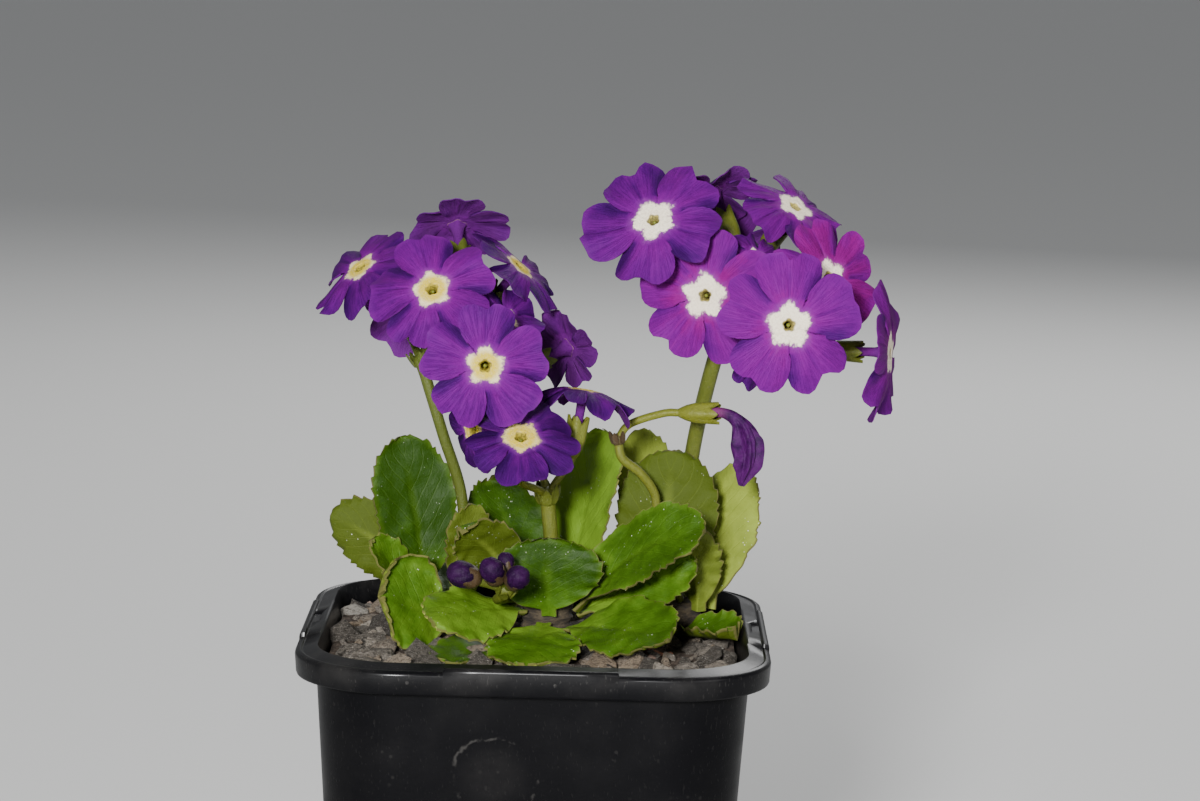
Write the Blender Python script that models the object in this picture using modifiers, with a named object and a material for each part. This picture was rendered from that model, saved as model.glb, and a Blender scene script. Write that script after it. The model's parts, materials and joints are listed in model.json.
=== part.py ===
"""A potted auricula.

A square nursery pot with rounded corners holds gritty compost. A rootstock with three crowns stands in it and
carries thick toothed leaves and five flower stems: three umbels of violet flowers with pale eyes, one cluster of
buds, and one spent flower. Metres, +Z up. The origin is the centre of the pot's base, and the front is -Y.
"""

import math
import random
from typing import NamedTuple

import bmesh
import bpy
from mathutils import Matrix, Vector, noise

MM = 0.001
GAP = 0.35 * MM

# Pot
POT_SIDE = 90 * MM
POT_HEIGHT = 98 * MM
RIM_CORNER = 20 * MM
RIM_WIDTH = 4.4 * MM
RIM_HEIGHT = 4.2 * MM
RIM_CROWN = 1.3 * MM
RIM_TAB_RISE = 0.9 * MM
RIM_TAB_HALF = 16 * MM
RIM_TAB_SLOPE = 0.2 * MM
RIM_TAPER = 0.3 * MM
BODY_TOP = 81.8 * MM
BODY_BASE = 70 * MM
BODY_CORNER = 16.5 * MM
BASE_CORNER = 12 * MM
WALL = 1.3 * MM
BASE_EDGE = 1.2 * MM
DRAIN_RADIUS = 4 * MM
DRAIN_OFFSET = 22 * MM
DRAIN_SIDES = 10
CORNER_STEPS = 4

# Compost
SOIL_TOP = 92.6 * MM
SOIL_TILT = 0.028
SOIL_LUMP = 1.1 * MM
SOIL_LUMP_PITCH = 9 * MM
SOIL_RINGS = 6
CHIP_COUNT = 18
CHIP_SEED = 11
CHIP_SMALLEST = 2.2 * MM
CHIP_LARGEST = 4.2 * MM
CHIP_TILT = 0.4
CHIP_SPACING = 5.5 * MM
CHIP_CLEAR = 31 * MM
CHIP_REACH = 36 * MM
CHIP_WALL_REACH = 35.5 * MM
CHIP_CORNER_REACH = 45 * MM

# Rootstock, in millimetres
NECK_HEIGHT = 88
NECK_RADIUS = 2.6
TRUNK_FOOT = 66
TRUNK_FOOT_RADIUS = 3.0
BRANCH_HEIGHT = 76
ROOTS = 4
ROOT_REACH = 15
ROOT_RADII = (1.5, 1.2, 1.0, 0.6)

# Leaves
LEAF_THICK = 0.8 * MM
PETIOLE_HALF = 1.5 * MM
TWIST_SHARE = 0.22
BLADE_START = 0.1
BLADE_FULLNESS = 2.4
BLADE_WIDEST = 0.6
TIP_SHARE = 0.2
TEETH_START = 0.3
TOOTH = 0.055
RIPPLE = 0.06
RIPPLE_WAVES = 2.2
SHAPE_SHARE = 0.2

# Flowers
PETALS = 5
SHEET_THICK = 0.6 * MM
TUBE_LENGTH = 11 * MM
TUBE_RADIUS = 0.6 * MM
TUBE_NECK = 3 * MM
THROAT_RADIUS = 1.6 * MM
THROAT_DEPTH = 0.3 * MM
EYE_SHARE = 0.3
NOTCH = 0.1
NOTCH_SPREAD = 0.2
CLEFT = 0.34
BOW = 0.05
MID_SHARE = 0.58
OUTLINE_TURNS = (-0.5, -0.38, -0.2, 0.0, 0.2, 0.38)
COARSE_TURNS = (-0.5, 0.0)
CALYX_LENGTH = 5 * MM
CALYX_INNER = 1.35 * MM
CALYX_WALL = 0.5 * MM
CALYX_FLOOR = 1.2 * MM
CALYX_TOOTH = 0.8 * MM
PEDICEL_RADIUS = 0.75 * MM
KNOB_RADIUS = 2.5 * MM
PEDICEL_STEPS = 3

MAGENTA = (0.36, 0.07, 0.5)
VIOLET = (0.25, 0.04, 0.42)
DEEP_VIOLET = (0.08, 0.01, 0.2)
WHITE_EYE = (0.85, 0.83, 0.72)
YELLOW_EYE = (0.82, 0.74, 0.3)
LEAF_GREEN = (0.1, 0.2, 0.02)
STEM_GREEN = (0.32, 0.38, 0.11)


def mm(x, y, z):
    """A point given in millimetres."""
    return Vector((x, y, z)) * MM


def heading(azimuth, elevation):
    """The unit vector at an azimuth from +X and an elevation above the horizon, in degrees."""
    a = math.radians(azimuth)
    e = math.radians(elevation)
    return Vector((math.cos(e) * math.cos(a), math.cos(e) * math.sin(a), math.sin(e)))


class Crown(NamedTuple):
    """A shoot of the rootstock that leaves grow from."""

    x: float
    y: float
    radius: float
    top: float


class Leaf(NamedTuple):
    """A leaf: where it sits on its crown, the way it points, and its size in millimetres and degrees.

    arch turns the leaf down along its length, cup lifts its margins, and twist turns it about its midrib.
    """

    name: str
    crown: str
    seat: float
    height: float
    azimuth: float
    elevation: float
    length: float
    width: float
    twist: float = 0.0
    arch: float = 20.0
    cup: float = 0.15
    rows: int = 10
    columns: int = 4


class Flower(NamedTuple):
    """A flower: the centre of its face, the way it faces, its radius, and the turn of its first petal.

    reflex bends the petals back, as a share of the radius.
    """

    name: str
    face: tuple
    azimuth: float
    elevation: float
    radius: float
    spin: float = 0.0
    reflex: float = 0.05


class Bud(NamedTuple):
    """A closed bud: its centre and its radius."""

    name: str
    centre: tuple
    radius: float


class Umbel(NamedTuple):
    """A flower stem: the points that its scape passes through, its radius, and the flowers it carries."""

    name: str
    scape: tuple
    radius: float
    petal: str
    eye: tuple
    flowers: tuple


CROWNS = {
    "centre": Crown(2, 1, 5.0, 101.5),
    "left": Crown(-18, 4, 3.8, 101.0),
    "right": Crown(28, 14, 4.2, 100.0),
}

LEAVES = (
    Leaf("leaf_left_upright", "left", 150, 100, 165, 79, 33, 17, -52, 14, 0.12),
    Leaf("leaf_left_low", "left", -75, 97.5, -150, 21, 17, 21, -58, 16, 0.12),
    Leaf("leaf_left_pale", "left", 115, 99, 172, 36, 27.5, 14, 88, 40, 0.15),
    Leaf("leaf_left_small", "left", 205, 98.5, 192, 54, 18, 10, -40, 10, 0.25, 10, 2),
    Leaf("leaf_left_inner", "left", -40, 100, -60, 86, 21, 10, 0, 4, -0.1, 10, 2),
    Leaf("leaf_middle_back", "centre", 125, 100, 128, 54, 27, 16, -12, 24, 0.2),
    Leaf("leaf_curled_up", "centre", 185, 101, -138, 45, 23, 13, 48, 70, -0.15),
    Leaf("leaf_centre", "centre", -85, 100, -98, 80, 16.5, 21, 14, -30, -0.12),
    Leaf("leaf_centre_tall", "centre", 50, 100, 54, 70, 35.5, 17.5, -14, 8, 0.12),
    Leaf("leaf_right_broad", "centre", -15, 100.5, -20, 32, 32.5, 16.5, 46, 44, 0.15),
    Leaf("leaf_right_dark", "centre", 15, 99, -12, 24, 26, 13, 60, 16, 0.15),
    Leaf("leaf_front_right", "centre", -55, 97.3, -38, 2, 26, 17.5, 28, 22, 0.12),
    Leaf("leaf_front", "centre", -94, 98.4, -98, -13, 21, 18, 0, 10, 0.05),
    Leaf("leaf_front_left", "centre", -143, 100.5, -140, -0.5, 22.5, 16, -26, 20, -0.06),
    Leaf("leaf_lowest", "centre", -150, 94.6, -127, -2, 25, 13, -8, 2, 0.1, 10, 2),
    Leaf("leaf_right_round", "right", -155, 97.5, 180, 94.5, 33, 20, 88, 8, 0.12),
    Leaf("leaf_right_back", "right", 10, 98, 69, 68, 30, 17, -20, 12, -0.15),
    Leaf("leaf_right_small", "right", -50, 99, -110, 73, 17, 10, 15, 12, 0.2, 10, 2),
    Leaf("leaf_right_rolled", "right", -95, 95, -37, 2, 15, 11, 10, 6, 0.5),
    Leaf("leaf_right_pale", "right", 170, 98, 165, 83, 28.5, 11, 90, 6, 0.12, 10, 2),
    Leaf("leaf_rear_left", "left", 80, 96.5, 105, 24, 26, 17, 0, 24, 0.15, 10, 2),
    Leaf("leaf_rear_centre", "centre", 85, 97, 92, 22, 28, 18, 0, 26, 0.15, 10, 2),
    Leaf("leaf_rear_right", "right", 118, 97, 117, 71, 37, 15, 0, 8, -0.12, 10, 2),
)

UMBELS = (
    Umbel(
        "left_umbel_stem",
        ((-16, 5.4, 101.5), (-14.5, 5, 109), (-15.3, 4, 122), (-18.9, 1, 134), (-21.6, 0, 142.7), (-23.4, 0, 148.4)),
        1.1,
        "petal_violet",
        YELLOW_EYE,
        (
            Flower("flower_left_main", (-10.3, -22, 150.9), -88, 5, 12.4, 0, 0.04),
            Flower("flower_left_upper", (-20.9, -14, 164.2), -100, 34, 12.6, 18, 0.08),
            Flower("flower_left_outer", (-35.6, 2, 166.1), -143, 48, 12.0, 10, 0.1),
            Flower("flower_left_between", (-7, -10, 158.5), -55, 42, 8.5, 20, 0.12),
            Flower("flower_left_crown", (-17.4, 10.4, 174), 100, 42, 10.4, 0, 0.12),
            Flower("flower_left_high", (-4.7, 2, 167.1), -13, 50, 11.2, 30, 0.08),
            Flower("flower_left_side", (4.7, 7.5, 150.9), 46, 16, 8.6, 10, 0.1),
            Flower("flower_left_rear", (-25, 20, 158), 105, 12, 11.5, 0, 0.1),
        ),
    ),
    Umbel(
        "middle_umbel_stem",
        ((3, -1, 102.05), (2.8, -3.4, 112), (1.7, -5, 123.3)),
        1.45,
        "petal_violet",
        YELLOW_EYE,
        (
            Flower("flower_middle_front", (-3.3, -21, 137.4), -88, 48, 11.5, -36, 0.08),
            Flower("flower_middle_low", (-12.8, -9.4, 136.8), -140, 0, 8.8, 0, 0.1),
            Flower("flower_middle_side", (8.2, -4, 144.3), 40, 80, 11.0, 20, 0.25),
        ),
    ),
    Umbel(
        "right_umbel_stem",
        ((28.6, 16, 100.5), (29.2, 16.5, 120), (30.2, 15, 131), (32.5, 10, 144), (35.5, 6, 157)),
        1.5,
        "petal_magenta",
        WHITE_EYE,
        (
            Flower("flower_right_main", (46.5, -20, 159.8), -85, 8, 14.2, 0, 0.03),
            Flower("flower_right_inner", (30.9, -9, 163.7), -105, 5, 14.0, 0, 0.05),
            Flower("flower_right_upper", (20.7, -7, 177.7), -108, 34, 14.2, -35, 0.06),
            Flower("flower_right_shoulder", (54.7, -4.3, 167.2), -60, 12, 11.8, 10, 0.1),
            Flower("flower_right_top", (48.3, 6, 179.7), -45, 50, 12.0, 20, 0.15),
            Flower("flower_right_crown", (32.5, 16, 181.5), 120, 45, 9.5, 0, 0.12),
            Flower("flower_right_hidden", (40.5, -4, 170.8), -60, 40, 6.5, 0, 0.1),
            Flower("flower_right_outer", (67.3, 1.6, 152.2), -12, 0, 14.0, 0, 0.06),
            Flower("flower_right_low", (43, 9, 150), -50, -10, 7.4, 0, 0.15),
            Flower("flower_right_rear", (36, 27, 167), 92, 14, 12.0, 0, 0.1),
        ),
    ),
)

BUD_STEM = (
    (-0.9, -1, 102.3),
    (-1.5, -3, 103.3),
    (-5.5, -6, 103.5),
    (-7.3, -12, 104.4),
    (-6.5, -17, 106),
    (-5.7, -19, 107.6),
)
BUD_STEM_RADIUS = 1.0
BUD_KNOB_RADIUS = 1.7
BUD_STALK_RADII = (0.7 * MM, 0.8 * MM, 1.1 * MM)
BUDS = (
    Bud("bud_left", (-13.9, -23, 111.3), 2.6),
    Bud("bud_middle", (-8.2, -23, 112.2), 2.4),
    Bud("bud_right", (-3.2, -24.5, 111.2), 2.3),
    Bud("bud_rear", (-5.8, -17.5, 112.8), 1.7),
)
BUD_STRETCH = 1.15
SPENT_SCAPE = (
    (28.2, 11.2, 100.6),
    (26.95, 8.95, 104),
    (24.6, 7.2, 110),
    (23.1, 6, 119),
    (22.4, 5.4, 123),
    (19.6, 4, 127),
    (16, 3, 130),
    (15.1, 3, 133.6),
)
SPENT_SCAPE_RADIUS = 0.9
SPENT_PEDICEL = ((15.1, 3, 133.6), (16.6, 2.6, 136.2), (19.3, 2, 137.8), (24.1, 1, 139.4), (26.6, 0.6, 139.6))
SPENT_TUBE = (
    (29.2, 0.2, 139.7),
    (32.2, -0.4, 139.85),
    (35.4, -1.1, 140),
    (38.2, -1.8, 138.4),
    (39.8, -2.2, 134.5),
    (39.9, -2.4, 130),
    (39.2, -2.4, 126),
)
SPENT_RADII = (0.85, 0.9, 1.0, 1.4, 2.4, 2.2, 0.45)
SPENT_SIDES = 10
SPENT_CREASE = 0.3
SPENT_FLATNESS = 0.7
SPENT_TWIST = 0.12


def clear_scene():
    """Removes whatever the file holds, so that the part starts from nothing."""
    for obj in list(bpy.data.objects):
        bpy.data.objects.remove(obj)


def material(name, colour, roughness):
    """A plain material for a sub-part."""
    made = bpy.data.materials.new(name)
    made.use_nodes = True
    shader = made.node_tree.nodes["Principled BSDF"]
    shader.inputs["Base Color"].default_value = (*colour, 1)
    shader.inputs["Roughness"].default_value = roughness
    shader.inputs["Metallic"].default_value = 0.0
    return made


def collection(name, hidden=False):
    """A new collection in the scene. A hidden one holds cutters and joined pieces."""
    made = bpy.data.collections.new(name)
    made.hide_render = hidden
    bpy.context.scene.collection.children.link(made)
    return made


def add_mesh(name, mesh, group, *materials):
    """An object with this mesh in a collection."""
    obj = bpy.data.objects.new(name, mesh)
    for each in materials:
        obj.data.materials.append(each)
    group.objects.link(obj)
    return obj


def mesh_from(bm, name, outward=True):
    """A mesh from a bmesh, with its normals made to point out."""
    if outward:
        bmesh.ops.recalc_face_normals(bm, faces=bm.faces)
    mesh = bpy.data.meshes.new(name)
    bm.to_mesh(mesh)
    bm.free()
    mesh.shade_smooth()
    return mesh


def bridge(bm, lower, upper):
    """Triangles between two closed rings. The longer ring has a whole number of points for each of the shorter's."""
    if len(lower) > len(upper):
        lower, upper = upper, lower
    share = len(upper) // len(lower)
    made = []
    for i, near in enumerate(lower):
        following = lower[(i + 1) % len(lower)]
        half = (share + 1) // 2
        for k in range(share):
            a = upper[i * share + k]
            b = upper[(i * share + k + 1) % len(upper)]
            made.append(bm.faces.new((near if k < half else following, a, b)))
            if k == half - 1:
                made.append(bm.faces.new((near, b, following)))
    return made


def loft(bm, rings, cap_start=False, cap_end=False):
    """A skin through rings of points, with its ends filled where asked. It gives the faces of each step."""
    loops = [[bm.verts.new(point) for point in ring] for ring in rings]
    steps = [bridge(bm, a, b) for a, b in zip(loops, loops[1:])]
    for loop, wanted in ((loops[0], cap_start), (loops[-1], cap_end)):
        if wanted:
            bm.faces.new(loop)
    return steps


def smooth_path(points, count):
    """Points along a smooth curve through a few given ones, all in millimetres, returned in metres."""
    through = [mm(*p) for p in points]
    ends = [2 * through[0] - through[1], *through, 2 * through[-1] - through[-2]]
    path = []
    for i in range(count + 1):
        place = i * (len(through) - 1) / count
        k = min(int(place), len(through) - 2)
        t = place - k
        a, b, c, d = ends[k : k + 4]
        path.append(
            0.5 * (2 * b + (c - a) * t + (2 * a - 5 * b + 4 * c - d) * t**2 + (3 * b - a - 3 * c + d) * t**3)
        )
    return path


def tube(name, path, radii, group, sides=6):
    """A closed tube along a path, made with a bevelled curve and turned into a mesh."""
    curve = bpy.data.curves.new(name, "CURVE")
    curve.dimensions = "3D"
    curve.bevel_depth = 1.0
    curve.bevel_resolution = (sides - 4) // 2
    curve.use_fill_caps = True
    spline = curve.splines.new("POLY")
    spline.points.add(len(path) - 1)
    for point, place, radius in zip(spline.points, path, radii):
        point.co = (*place, 1)
        point.radius = radius
    guide = bpy.data.objects.new(name, curve)
    bpy.context.scene.collection.objects.link(guide)
    graph = bpy.context.evaluated_depsgraph_get()
    mesh = bpy.data.meshes.new_from_object(guide.evaluated_get(graph))
    bpy.data.objects.remove(guide)
    bm = bmesh.new()
    bm.from_mesh(mesh)
    bmesh.ops.remove_doubles(bm, verts=bm.verts, dist=0.01 * MM)
    bmesh.ops.recalc_face_normals(bm, faces=bm.faces)
    bm.to_mesh(mesh)
    bm.free()
    return add_mesh(name, mesh, group)


def ball(name, centre, radii, group, rings=5, segments=8, turn=None):
    """A closed ellipsoid, turned where asked."""
    bm = bmesh.new()
    bmesh.ops.create_uvsphere(bm, u_segments=segments, v_segments=rings, radius=1.0)
    place = Matrix.Translation(centre) @ (turn or Matrix.Identity(4)) @ Matrix.Diagonal((*radii, 1))
    bmesh.ops.transform(bm, matrix=place, verts=bm.verts)
    return add_mesh(name, mesh_from(bm, name), group)


def join(name, pieces, group, *materials, solver="EXACT"):
    """One closed body from pieces that run into each other."""
    first, *others = pieces
    joined = collection(name + "_pieces", hidden=True)
    for other in others:
        for owner in list(other.users_collection):
            owner.objects.unlink(other)
        joined.objects.link(other)
    modifier = first.modifiers.new("join", "BOOLEAN")
    modifier.operation = "UNION"
    modifier.operand_type = "COLLECTION"
    modifier.collection = joined
    modifier.solver = solver
    return finish_boolean(first, name, [joined], group, *materials)


def cut(obj, tool, name, group, *materials):
    """What is left of an object after a tool is taken out of it."""
    modifier = obj.modifiers.new("cut", "BOOLEAN")
    modifier.operation = "DIFFERENCE"
    modifier.object = tool
    modifier.solver = "EXACT"
    made = finish_boolean(obj, name, [], group, *materials)
    bpy.data.objects.remove(tool)
    return made


def finish_boolean(obj, name, spent, group, *materials):
    """Applies an object's Boolean, keeps the result as one object and removes what it was made from."""
    bpy.context.view_layer.update()
    graph = bpy.context.evaluated_depsgraph_get()
    mesh = bpy.data.meshes.new_from_object(obj.evaluated_get(graph))
    mesh.materials.clear()
    bpy.data.objects.remove(obj)
    for each in spent:
        for other in list(each.objects):
            bpy.data.objects.remove(other)
        bpy.data.collections.remove(each)
    mesh.name = name
    mesh.shade_smooth()
    mesh.set_sharp_from_angle(angle=math.radians(40))
    return add_mesh(name, mesh, group, *materials)


def square_ring(half, corner, height, tab_rise=0.0):
    """A ring round a square with rounded corners. Each side has a middle stretch that tab_rise lifts."""
    points = []
    for side in range(4):
        turn = Matrix.Rotation(math.radians(90 * side), 3, "Z")
        straight = half - corner
        tab = min(RIM_TAB_HALF, straight * 0.8)
        for along, rise in ((-tab - RIM_TAB_SLOPE, 0), (-tab, tab_rise), (tab, tab_rise), (tab + RIM_TAB_SLOPE, 0)):
            points.append(turn @ Vector((half, along, height + rise)))
        for step in range(CORNER_STEPS + 1):
            angle = math.radians(90 * step / CORNER_STEPS)
            arc = Vector((straight + corner * math.cos(angle), straight + corner * math.sin(angle), height))
            points.append(turn @ arc)
    return points


def wall_half(height, inset=0.0):
    """Half the width of the pot's body at a height, less an inset."""
    share = height / (POT_HEIGHT - RIM_CROWN - RIM_HEIGHT)
    return BODY_BASE / 2 + (BODY_TOP - BODY_BASE) / 2 * share - inset


def wall_corner(height, inset=0.0):
    """The corner radius of the pot's body at a height, less an inset."""
    share = height / (POT_HEIGHT - RIM_CROWN - RIM_HEIGHT)
    return BASE_CORNER + (BODY_CORNER - BASE_CORNER) * share - inset


def build_pot(group):
    """The pot: a tapered shell with a stepped rim and four drainage holes."""
    rim_top = POT_HEIGHT - RIM_CROWN
    rim_low = rim_top - RIM_HEIGHT
    half = POT_SIDE / 2
    inner = half - RIM_WIDTH
    bm = bmesh.new()
    rings = [
        square_ring(BODY_BASE / 2 - BASE_EDGE, BASE_CORNER - BASE_EDGE, 0),
        square_ring(wall_half(BASE_EDGE), wall_corner(BASE_EDGE), BASE_EDGE),
        square_ring(wall_half(rim_low), wall_corner(rim_low), rim_low),
        square_ring(half - RIM_TAPER, RIM_CORNER - RIM_TAPER, rim_low),
        square_ring(half, RIM_CORNER, rim_top, RIM_TAB_RISE),
        square_ring(inner, RIM_CORNER - RIM_WIDTH, POT_HEIGHT),
        square_ring(wall_half(rim_low, WALL), wall_corner(rim_low, WALL), rim_low),
        square_ring(wall_half(WALL, WALL), wall_corner(WALL, WALL), WALL),
    ]
    loft(bm, rings, cap_start=True, cap_end=True)
    pot = add_mesh("pot_shell", mesh_from(bm, "pot_shell"), group)
    bm = bmesh.new()
    drain = {"segments": DRAIN_SIDES, "radius1": DRAIN_RADIUS, "radius2": DRAIN_RADIUS, "depth": 3 * WALL}
    for x in (-1, 1):
        for y in (-1, 1):
            place = Matrix.Translation(Vector((x * DRAIN_OFFSET, y * DRAIN_OFFSET, WALL / 2)))
            bmesh.ops.create_cone(bm, cap_ends=True, matrix=place, **drain)
    tool = add_mesh("drains", mesh_from(bm, "drains"), group)
    cut(pot, tool, "pot", group, material("pot_plastic", (0.012, 0.012, 0.014), 0.35))


def soil_height(x, y):
    """The height of the compost's surface, which falls towards the right and is lumpy."""
    lump = noise.noise(Vector((x, y, 0.37 * MM)) / SOIL_LUMP_PITCH)
    return SOIL_TOP - SOIL_TILT * x + SOIL_LUMP * lump


def soil_body(group):
    """The compost that fills the pot, with its lumpy surface."""
    bm = bmesh.new()
    low = WALL + GAP
    edge = SOIL_TOP - 1 * MM
    inset = WALL + GAP
    outer = square_ring(wall_half(edge, inset), wall_corner(edge, inset), 0)
    rings = [square_ring(wall_half(low, inset), wall_corner(low, inset), low)]
    for ring in range(SOIL_RINGS):
        share = 1 - ring / (SOIL_RINGS - 0.5)
        rings.append([Vector((p.x * share, p.y * share, soil_height(p.x * share, p.y * share))) for p in outer])
    loft(bm, rings, cap_start=True, cap_end=True)
    bmesh.ops.triangulate(bm, faces=bm.faces)
    return add_mesh("soil_body", mesh_from(bm, "soil_body"), group)


def grit_chips(group):
    """Flat angular stones that lie sunk in the compost's surface, round the plant."""
    rng = random.Random(CHIP_SEED)
    chips = []
    while len(chips) < CHIP_COUNT:
        x = rng.uniform(-CHIP_REACH, CHIP_REACH)
        y = rng.uniform(-CHIP_REACH, CHIP_REACH)
        size = rng.uniform(CHIP_SMALLEST, CHIP_LARGEST)
        turn = Matrix.Rotation(rng.uniform(-CHIP_TILT, CHIP_TILT), 4, "X")
        turn @= Matrix.Rotation(rng.uniform(-CHIP_TILT, CHIP_TILT), 4, "Y")
        turn @= Matrix.Rotation(rng.uniform(0, math.pi), 4, "Z")
        centre = Vector((x, y, soil_height(x, y)))
        taken = any((centre - other).xy.length < CHIP_SPACING for other, _ in chips)
        under_plant = math.hypot(x, y) < CHIP_CLEAR
        at_wall = max(abs(x), abs(y)) + 0.45 * size > CHIP_WALL_REACH or math.hypot(x, y) > CHIP_CORNER_REACH
        if taken or under_plant or at_wall:
            continue
        bm = bmesh.new()
        bmesh.ops.create_icosphere(bm, subdivisions=1, radius=1.0)
        for vert in bm.verts:
            vert.co *= 1 + rng.uniform(-0.22, 0.15)
        scale = Matrix.Diagonal((size, 0.7 * size, 0.42 * size, 1))
        bmesh.ops.transform(bm, matrix=Matrix.Translation(centre) @ turn @ scale, verts=bm.verts)
        chips.append((centre, add_mesh("chip", mesh_from(bm, "chip"), group)))
    return [chip for _, chip in chips]


def rootstock_pieces(group, grow=0.0):
    """The tubes of the rootstock: a trunk, a neck to each crown, and roots. grow makes them all thicker."""
    trunk = CROWNS["centre"]
    pieces = []

    def add(points, radii, count, sides=8):
        path = smooth_path(points, count)
        path[-1] += (path[-1] - path[-2]).normalized() * grow
        steps = [i * (len(radii) - 1) / count for i in range(count + 1)]
        sizes = []
        for place in steps:
            k = min(int(place), len(radii) - 2)
            sizes.append((radii[k] + (radii[k + 1] - radii[k]) * (place - k)) * MM + grow)
        pieces.append(tube("root_piece", path, sizes, group, sides))

    add(
        ((trunk.x, trunk.y, trunk.top), (trunk.x, trunk.y, NECK_HEIGHT), (trunk.x, trunk.y + 1, TRUNK_FOOT)),
        (trunk.radius * 0.96, trunk.radius, TRUNK_FOOT_RADIUS),
        3,
    )
    for side in ("left", "right"):
        crown = CROWNS[side]
        middle = ((crown.x + trunk.x) / 2, (crown.y + trunk.y) / 2, BRANCH_HEIGHT + 2)
        add(
            (
                (crown.x, crown.y, crown.top),
                (crown.x, crown.y, NECK_HEIGHT),
                middle,
                (trunk.x, trunk.y, BRANCH_HEIGHT),
            ),
            (crown.radius * 0.96, crown.radius, NECK_RADIUS, 0.92 * NECK_RADIUS),
            5,
        )
    for k in range(ROOTS):
        out = heading(360 * k / ROOTS + 20, 0) * (ROOT_REACH + 3 * (k % 2))
        add(
            (
                (trunk.x, trunk.y + 1, TRUNK_FOOT + 4),
                (trunk.x + out.x * 0.6, trunk.y + out.y * 0.6, 58),
                (trunk.x + out.x, trunk.y + out.y, 38),
                (trunk.x + out.x * 0.8, trunk.y + out.y * 0.8, 14 + 4 * (k % 3)),
            ),
            ROOT_RADII,
            3,
            4,
        )
    return pieces


def build_soil_and_rootstock(group):
    """The compost with a plain hole where the rootstock stands, and the rootstock in it."""
    wood = material("rootstock_bark", (0.28, 0.2, 0.11), 0.85)
    join("rootstock", rootstock_pieces(group), group, wood)
    tool = join("root_hole", rootstock_pieces(group, GAP), group)
    body = join("soil_joined", [soil_body(group), *grit_chips(group)], group)
    cut(body, tool, "compost", group, material("gritty_compost", (0.2, 0.17, 0.14), 0.95))


def blade_half(leaf, share):
    """Half of a leaf's width at a share of its length: a narrow stalk, a broad blade and a blunt tip."""
    if share <= BLADE_START:
        return PETIOLE_HALF
    blade = (share - BLADE_START) / (1 - BLADE_START)
    peak = leaf.width / 2 * MM
    if blade < BLADE_WIDEST:
        rise = blade / BLADE_WIDEST
        return PETIOLE_HALF + (peak - PETIOLE_HALF) * (1 - (1 - rise) ** BLADE_FULLNESS)
    fall = (blade - BLADE_WIDEST) / (1 - BLADE_WIDEST)
    return peak * max(math.sqrt(max(1 - fall**2, 0)), TIP_SHARE)


def leaf_frames(leaf, count):
    """(point, side, normal) along a leaf's midrib, from its seat on the crown to its tip."""
    crown = CROWNS[leaf.crown]
    out = heading(leaf.seat, 0)
    foot_side = heading(leaf.azimuth + 90, 0)
    reach = crown.radius * MM + GAP + LEAF_THICK / 2 + PETIOLE_HALF * abs(foot_side.dot(out))
    point = mm(crown.x, crown.y, leaf.height) + out * reach
    frames = []
    step = leaf.length * MM / count
    for i in range(count + 1):
        share = i / count
        tangent = heading(leaf.azimuth, leaf.elevation + leaf.arch * (0.5 - share))
        turn = Matrix.Rotation(math.radians(leaf.twist) * min(1, share / TWIST_SHARE), 3, tangent)
        side = turn @ foot_side
        frames.append((point.copy(), side, tangent.cross(side)))
        point += tangent * step
    return frames


def leaf_point(leaf, frame, share, across, tooth):
    """A point of a leaf's surface: across runs from -1 to 1, and tooth moves the margin out or in."""
    point, side, normal = frame
    half = blade_half(leaf, share)
    edge = abs(across) ** 3
    half *= 1 + tooth * edge
    ripple = RIPPLE * math.sin(2 * math.pi * RIPPLE_WAVES * share + leaf.seat) * edge
    grown = min(1, max(0, (share - BLADE_START) / SHAPE_SHARE))
    lift = (leaf.cup * across**2 + ripple) * leaf.width / 2 * MM * grown
    return point + side * (half * across) + normal * lift


def build_leaf(leaf, group, green):
    """A thick toothed leaf: a grid bent to the leaf's surface, with its thickness from a Solidify modifier."""
    frames = leaf_frames(leaf, leaf.rows)
    bm = bmesh.new()
    bmesh.ops.create_grid(bm, x_segments=leaf.rows, y_segments=leaf.columns, size=1.0)
    for vert in bm.verts:
        row = round((vert.co.x + 1) / 2 * leaf.rows)
        share = row / leaf.rows
        on_blade = TEETH_START < share < 1
        tooth = TOOTH * (1 if row % 2 else -1) if on_blade else 0
        vert.co = leaf_point(leaf, frames[row], share, vert.co.y, tooth)
    bmesh.ops.triangulate(bm, faces=bm.faces)
    leaf_object = add_mesh(leaf.name, mesh_from(bm, leaf.name, outward=False), group, green)
    solid = leaf_object.modifiers.new("thickness", "SOLIDIFY")
    solid.thickness = LEAF_THICK
    solid.offset = 0.0


def flower_matrix(flower):
    """The frame of a flower's face: its centre, with +Z the way it faces and +Y towards its first petal."""
    facing = heading(flower.azimuth, flower.elevation)
    level = Vector((-facing.y, facing.x, 0)).normalized()
    above = facing.cross(level)
    turn = Matrix((level, above, facing)).transposed()
    spin = Matrix.Rotation(math.radians(flower.spin), 3, "Z")
    return Matrix.Translation(mm(*flower.face)) @ (turn @ spin).to_4x4()


def petal_reach(turn):
    """The margin of the corolla at an angle in petals from a petal's middle, as a share of the radius."""
    away = abs(turn) * 2
    return 1 - NOTCH * math.exp(-((away / NOTCH_SPREAD) ** 2)) - CLEFT * away**5


def limb_height(flower, share, turn):
    """How far a point of the corolla stands in front of its face, as a share of the radius."""
    return (BOW * math.cos(2 * math.pi * turn) - flower.reflex) * share**2


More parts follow.
